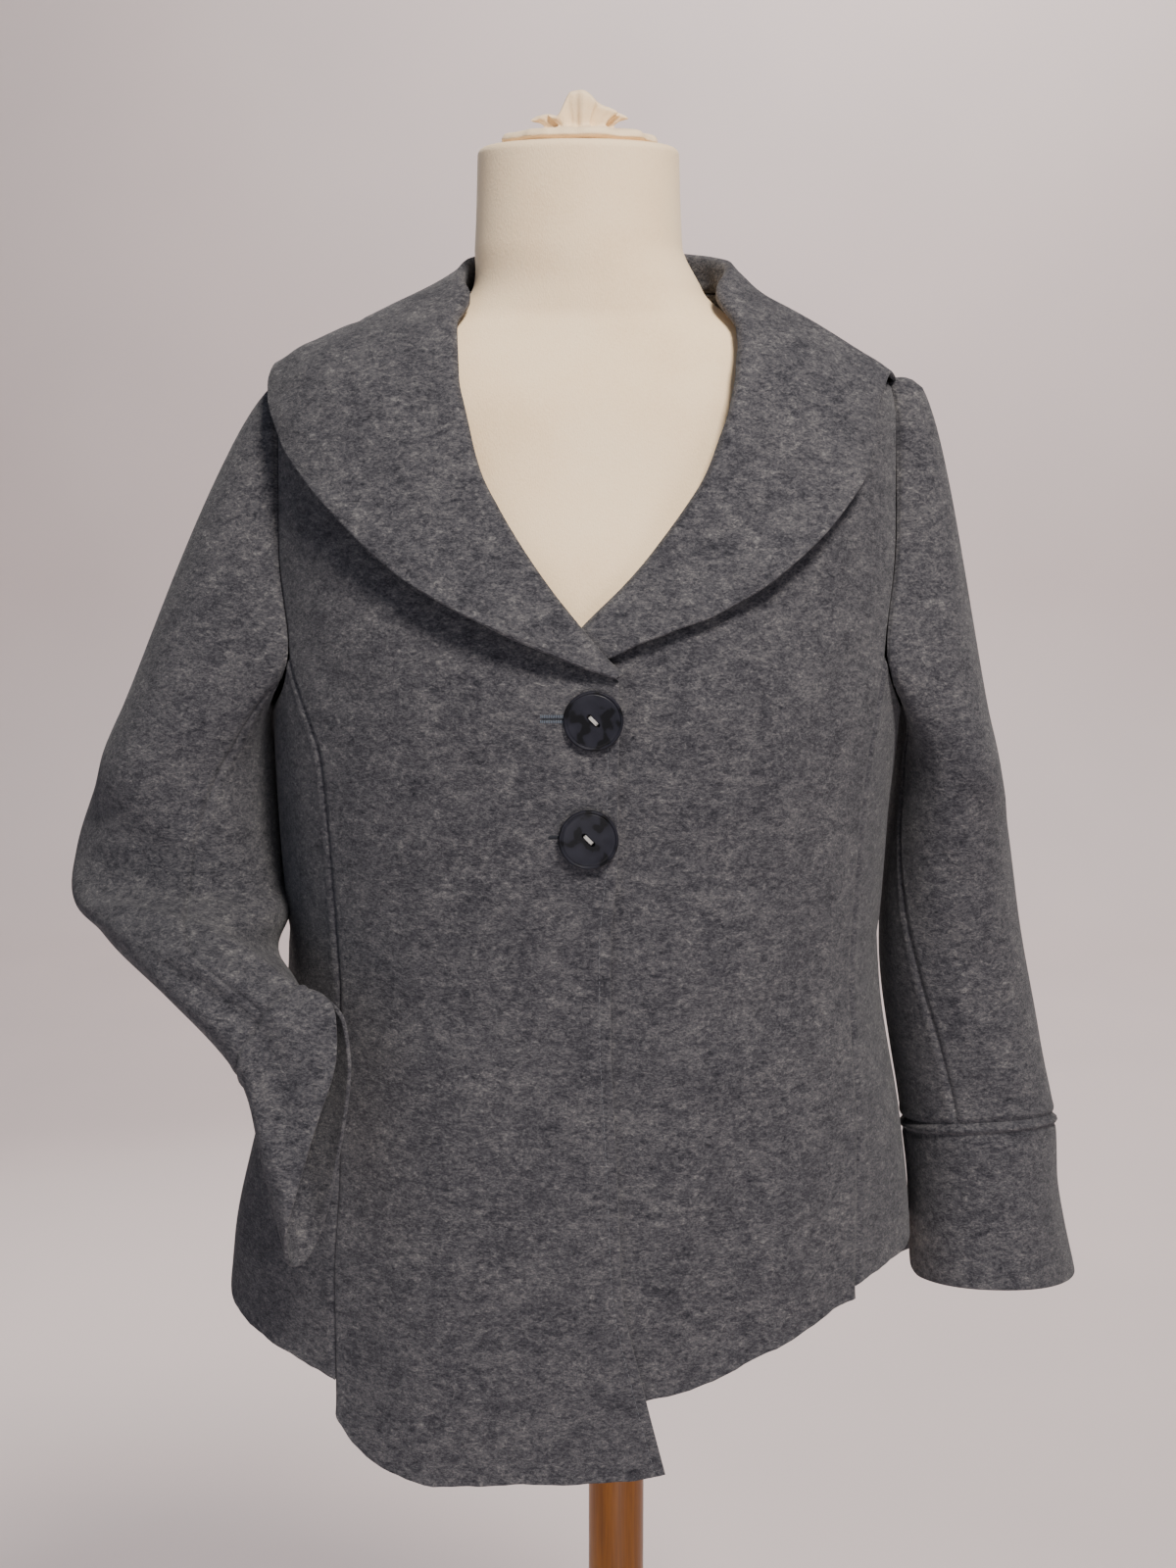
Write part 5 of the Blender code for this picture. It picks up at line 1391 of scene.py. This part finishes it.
class Finish:
    """A material whose Principled shader is fed by the signals worked out on it."""

    def __init__(self, name, **constants):
        self.material = bpy.data.materials.new(name)
        self.material.use_nodes = True
        self.tree = self.material.node_tree
        self.shader = self.tree.nodes["Principled BSDF"]
        for socket, value in constants.items():
            self.shader.inputs[socket.replace("_", " ")].default_value = value
        self.place = self.node("ShaderNodeTexCoord").outputs["Object"]

    def node(self, kind, settings=None, values=None):
        """One node: its settings first, a ramp's stops among them, then values or links for its sockets."""
        made_node = self.tree.nodes.new(kind)
        for name, value in (settings or {}).items():
            if name == "stops":
                self.set_stops(made_node.color_ramp, value)
            else:
                setattr(made_node, name, value)
        for socket, value in (values or {}).items():
            self.feed(made_node.inputs[socket], value)
        return made_node

    def set_stops(self, ramp_settings, stops):
        while len(ramp_settings.elements) < len(stops):
            ramp_settings.elements.new(1.0)
        for element, (position, colour) in zip(ramp_settings.elements, stops):
            element.position = position
            element.color = (*colour, 1)

    def feed(self, socket, value):
        value = value.socket if isinstance(value, Signal) else value
        if isinstance(value, bpy.types.NodeSocket):
            self.tree.links.new(value, socket)
        else:
            socket.default_value = value

    def math(self, operation, first, second):
        made_node = self.node("ShaderNodeMath", {"operation": operation}, {0: first, 1: second})
        return Signal(self, made_node.outputs[0])

    def noise(self, scale, detail=2.0, roughness=0.5, distortion=0.0, place=None):
        values = {"Vector": place or self.place, "Scale": scale, "Detail": detail,
                  "Roughness": roughness, "Distortion": distortion}
        return Signal(self, self.node("ShaderNodeTexNoise", None, values).outputs[0])

    def stretched(self, scale):
        """Object coordinates scaled apart along the axes, so that a pattern is longer one way."""
        return self.node("ShaderNodeMapping", None, {"Vector": self.place, "Scale": scale}).outputs[0]

    def colours(self, signal, stops):
        return self.node("ShaderNodeValToRGB", {"stops": stops}, {0: signal}).outputs[0]

    def bump(self, signal, distance, strength=1.0):
        return self.node("ShaderNodeBump", None, {"Height": signal, "Distance": distance,
                                                  "Strength": strength}).outputs[0]

    def finish(self, colour, roughness, normal):
        self.feed(self.shader.inputs["Base Color"], colour)
        self.feed(self.shader.inputs["Roughness"], roughness)
        self.feed(self.shader.inputs["Normal"], normal)
        return self.material


# %% [markdown]
# Boiled wool is spun from fibres of several greys and felted, so close up it is a tangle of light and dark
# flecks one to three millimetres long, lying mostly across the cloth, with soft patches about a centimetre wide.
# Four scales of noise give the flecks, and the finest of them also raise the nap as bump.

# %% Boiled wool
def boiled_wool():
    wool = Finish("boiled_wool_cloth", Sheen_Weight=0.10, Sheen_Roughness=0.5, Specular_IOR_Level=0.1)
    lying = wool.stretched((0.7, 0.7, 1.2))
    flecks = wool.noise(330, 4, 0.75, 0.7, lying)
    fibres = wool.noise(800, 3, 0.75, 0.4, lying)
    tangle = wool.noise(120, 3, 0.65, 0.6, lying)
    patches = wool.noise(40, 2, 0.5)
    shade = 0.5 + (flecks - 0.5) * 1.35 + (fibres - 0.5) * 1.1 + (tangle - 0.5) * 0.62 + (patches - 0.5) * 0.30
    colour = wool.colours(shade, [
        (0.10, (0.014, 0.014, 0.018)),
        (0.36, (0.038, 0.037, 0.043)),
        (0.52, (0.062, 0.060, 0.066)),
        (0.70, (0.094, 0.090, 0.093)),
        (0.95, (0.180, 0.172, 0.168))])
    nap = flecks * 0.55 + fibres * 0.55 + tangle * 0.5
    return wool.finish(colour, 0.92 + (flecks - 0.5) * 0.1, wool.bump(nap, 0.0014, 0.9))


# %% [markdown]
# The form's cover is a fine cotton jersey. Its loops are far too small to count, so a fine ribbed ripple and a
# little unevenness in colour are enough, with a soft sheen where the light grazes it.

# %% Cream jersey
def cream_jersey():
    cover = Finish("cream_jersey_cover", Sheen_Weight=0.15, Sheen_Roughness=0.5, Specular_IOR_Level=0.25)
    loops = cover.noise(1, 1, 0.4, 0.0, cover.stretched((1400, 1400, 520)))
    soft = cover.noise(14, 3, 0.5)
    fluff = cover.noise(420, 3, 0.7)
    colour = cover.colours(0.5 + (soft - 0.5) * 0.8 + (fluff - 0.5) * 0.35 + (loops - 0.5) * 0.25, [
        (0.15, (0.76, 0.550, 0.325)),
        (0.50, (0.88, 0.670, 0.425)),
        (0.85, (0.92, 0.730, 0.490))])
    return cover.finish(colour, 0.82 + (fluff - 0.5) * 0.15, cover.bump(loops + fluff * 0.5, 0.0003, 0.8))


# %% [markdown]
# The pole is stained and varnished wood: long grain lines along it, darker pores, and a clear smooth coat.

# %% Varnished wood
def varnished_wood():
    wood = Finish("varnished_pole_wood", Coat_Weight=0.22, Coat_Roughness=0.18, Specular_IOR_Level=0.3)
    grain = wood.noise(1, 5, 0.62, 0.6, wood.stretched((95, 95, 5.5)))
    pores = wood.noise(1, 3, 0.7, 0.0, wood.stretched((900, 900, 22)))
    stain = wood.noise(9, 2, 0.5)
    colour = wood.colours(0.5 + (grain - 0.5) * 1.1 + (pores - 0.5) * 0.45 + (stain - 0.5) * 0.35, [
        (0.12, (0.100, 0.026, 0.001)),
        (0.48, (0.245, 0.078, 0.003)),
        (0.88, (0.370, 0.140, 0.008))])
    return wood.finish(colour, 0.34 + (pores - 0.5) * 0.2, wood.bump(grain * 0.4 + pores, 0.0003, 0.6))


# %% [markdown]
# The buttons are cast resin: a charcoal body with a violet cast, in which a few darker round clouds lie.
# Threads are twisted. Each piece takes the first finish whose word is in its name, and cloth takes the last.

# %% Buttons and threads
def dark_button():
    resin = Finish("dark_button_resin", Specular_IOR_Level=0.12, Coat_Weight=0.03, Coat_Roughness=0.25)
    clouds = resin.noise(120, 1, 0.4, 0.3)
    grit = resin.noise(900, 2, 0.6)
    colour = resin.colours(clouds + (grit - 0.5) * 0.08, [
        (0.40, (0.005, 0.005, 0.006)),
        (0.46, (0.013, 0.013, 0.018)),
        (0.75, (0.018, 0.018, 0.025))])
    return resin.finish(colour, 0.42 + (grit - 0.5) * 0.15, resin.bump(grit, 0.0001, 0.4))


def thread(name, dark, light):
    """Twisted thread: a fine ripple across it, between two shades of one colour."""
    yarn = Finish(name, Sheen_Weight=0.2, Specular_IOR_Level=0.2)
    twist = yarn.noise(2600, 2, 0.6)
    colour = yarn.colours(twist, [(0.3, dark), (0.7, light)])
    return yarn.finish(colour, 0.8 + (twist - 0.5) * 0.1, yarn.bump(twist, 0.0002, 0.7))


jersey, wood = cream_jersey(), varnished_wood()
FINISHES = [
    ("hole_stitches", thread("blue_grey_thread", (0.060, 0.080, 0.110), (0.160, 0.190, 0.230))),
    ("edge_stitches", thread("grey_seam_thread", (0.070, 0.074, 0.084), (0.150, 0.152, 0.160))),
    # The slit's near-black colour is painted shade inside the buttonhole's gap.
    ("_slit", thread("painted_shade_slit", (0.006, 0.007, 0.010), (0.014, 0.016, 0.022))),
    ("_thread", thread("pale_button_thread", (0.30, 0.29, 0.27), (0.55, 0.53, 0.50))),
    ("_disc", dark_button()), ("form_cover", jersey), ("neck_tuft", jersey),
    ("_wood", wood), ("", boiled_wool()),
]
for name, piece in made.items():
    piece.data.materials.clear()
    piece.data.materials.append(next(finish for word, finish in FINISHES if word in name))
print("finishes", sorted({finish.name for word, finish in FINISHES}))

# %% [markdown]
# The stage is a plain pale sweep: a floor that curves up into a wall. A warm lamp stands high in front, a little
# to the right, and a cool weak one at the left, so that shadows turn blue as in the photograph. A weak lamp low
# in front lights the hem, one behind shows the back, and one lights the wall alone.

# %% Stage, light and camera
FLOOR_REACH = 14.0
WALL_AT = 5.2
WALL_TOP = 6.0
BEND = 0.9


def sweep():
    """A floor and a wall joined by a quarter circle, as one profile carried sideways."""
    turn = np.linspace(0, np.pi / 2, 24)
    bend = BEND * np.stack([np.sin(turn), 1 - np.cos(turn)], axis=1) + [WALL_AT - BEND, 0.0]
    profile = np.concatenate([[[-FLOOR_REACH, 0.0]], bend, [[WALL_AT, WALL_TOP]]])
    points = np.stack(np.broadcast_arrays([FLOOR_REACH, 0.0, -FLOOR_REACH], profile[:, :1], profile[:, 1:]), axis=-1)
    index = np.arange(points.shape[0] * 3).reshape(-1, 3)
    floor = add_mesh("sweep", points, quads(index)[:, ::-1].tolist())
    paper = Finish("pale_paper", Specular_IOR_Level=0.1)
    cloud = paper.noise(1.5, 2, 0.5)
    colour = paper.colours(cloud, [(0.3, (0.70, 0.604, 0.582)), (0.7, (0.74, 0.637, 0.610))])
    floor.data.materials.append(paper.finish(colour, 0.9, paper.bump(cloud, 0.001, 0.1)))


def lamp(name, place, target, size, power, colour):
    """A round area lamp at a place, turned to face its target."""
    light = bpy.data.lights.new(name, "AREA")
    light.shape = "DISK"
    light.size = size
    light.energy = power
    light.color = colour
    item = add(name, light)
    item.location = place
    turn = np.array(target) - np.array(place)
    item.rotation_euler = (math.atan2(math.hypot(turn[0], turn[1]), -turn[2]), 0, math.atan2(-turn[0], turn[1]))


CAMERA_PLACE = (-0.0195, -1.47, 1.317)
CAMERA_TILT = math.radians(8.65)
PIXELS_PER_TURN = 2300
LONG_SIDE = 1600
sweep()
lamp("key", (0.65, -1.55, 3.2), (0, 0, 1.1), 0.6, 118, (1.0, 0.94, 0.87))
lamp("fill", (-2.0, -1.8, 1.2), (0, 0, 1.1), 1.8, 5, (0.60, 0.78, 1.0))
lamp("low", (0.3, -1.9, 0.35), (0, 0, 0.85), 0.9, 14, (0.98, 0.96, 1.0))
lamp("rear", (-0.9, 2.4, 1.7), (0, 0, 1.1), 1.2, 24, (1.0, 0.97, 0.94))
lamp("back", (0.9, 2.9, 4.2), (0.9, 5.2, 1.5), 2.4, 165, (1.0, 0.96, 0.94))
world = bpy.data.worlds.new("studio")
bpy.context.scene.world = world
world.use_nodes = True
world.node_tree.nodes["Background"].inputs["Color"].default_value = (0.72, 0.80, 1.0, 1)
world.node_tree.nodes["Background"].inputs["Strength"].default_value = 0.25
camera = add("camera", bpy.data.cameras.new("camera"))
camera.location = CAMERA_PLACE
camera.rotation_euler = (math.pi / 2 - CAMERA_TILT, 0, 0)
camera.data.lens = PIXELS_PER_TURN / LONG_SIDE * 36
camera.data.sensor_width = 36
bpy.context.scene.camera = camera
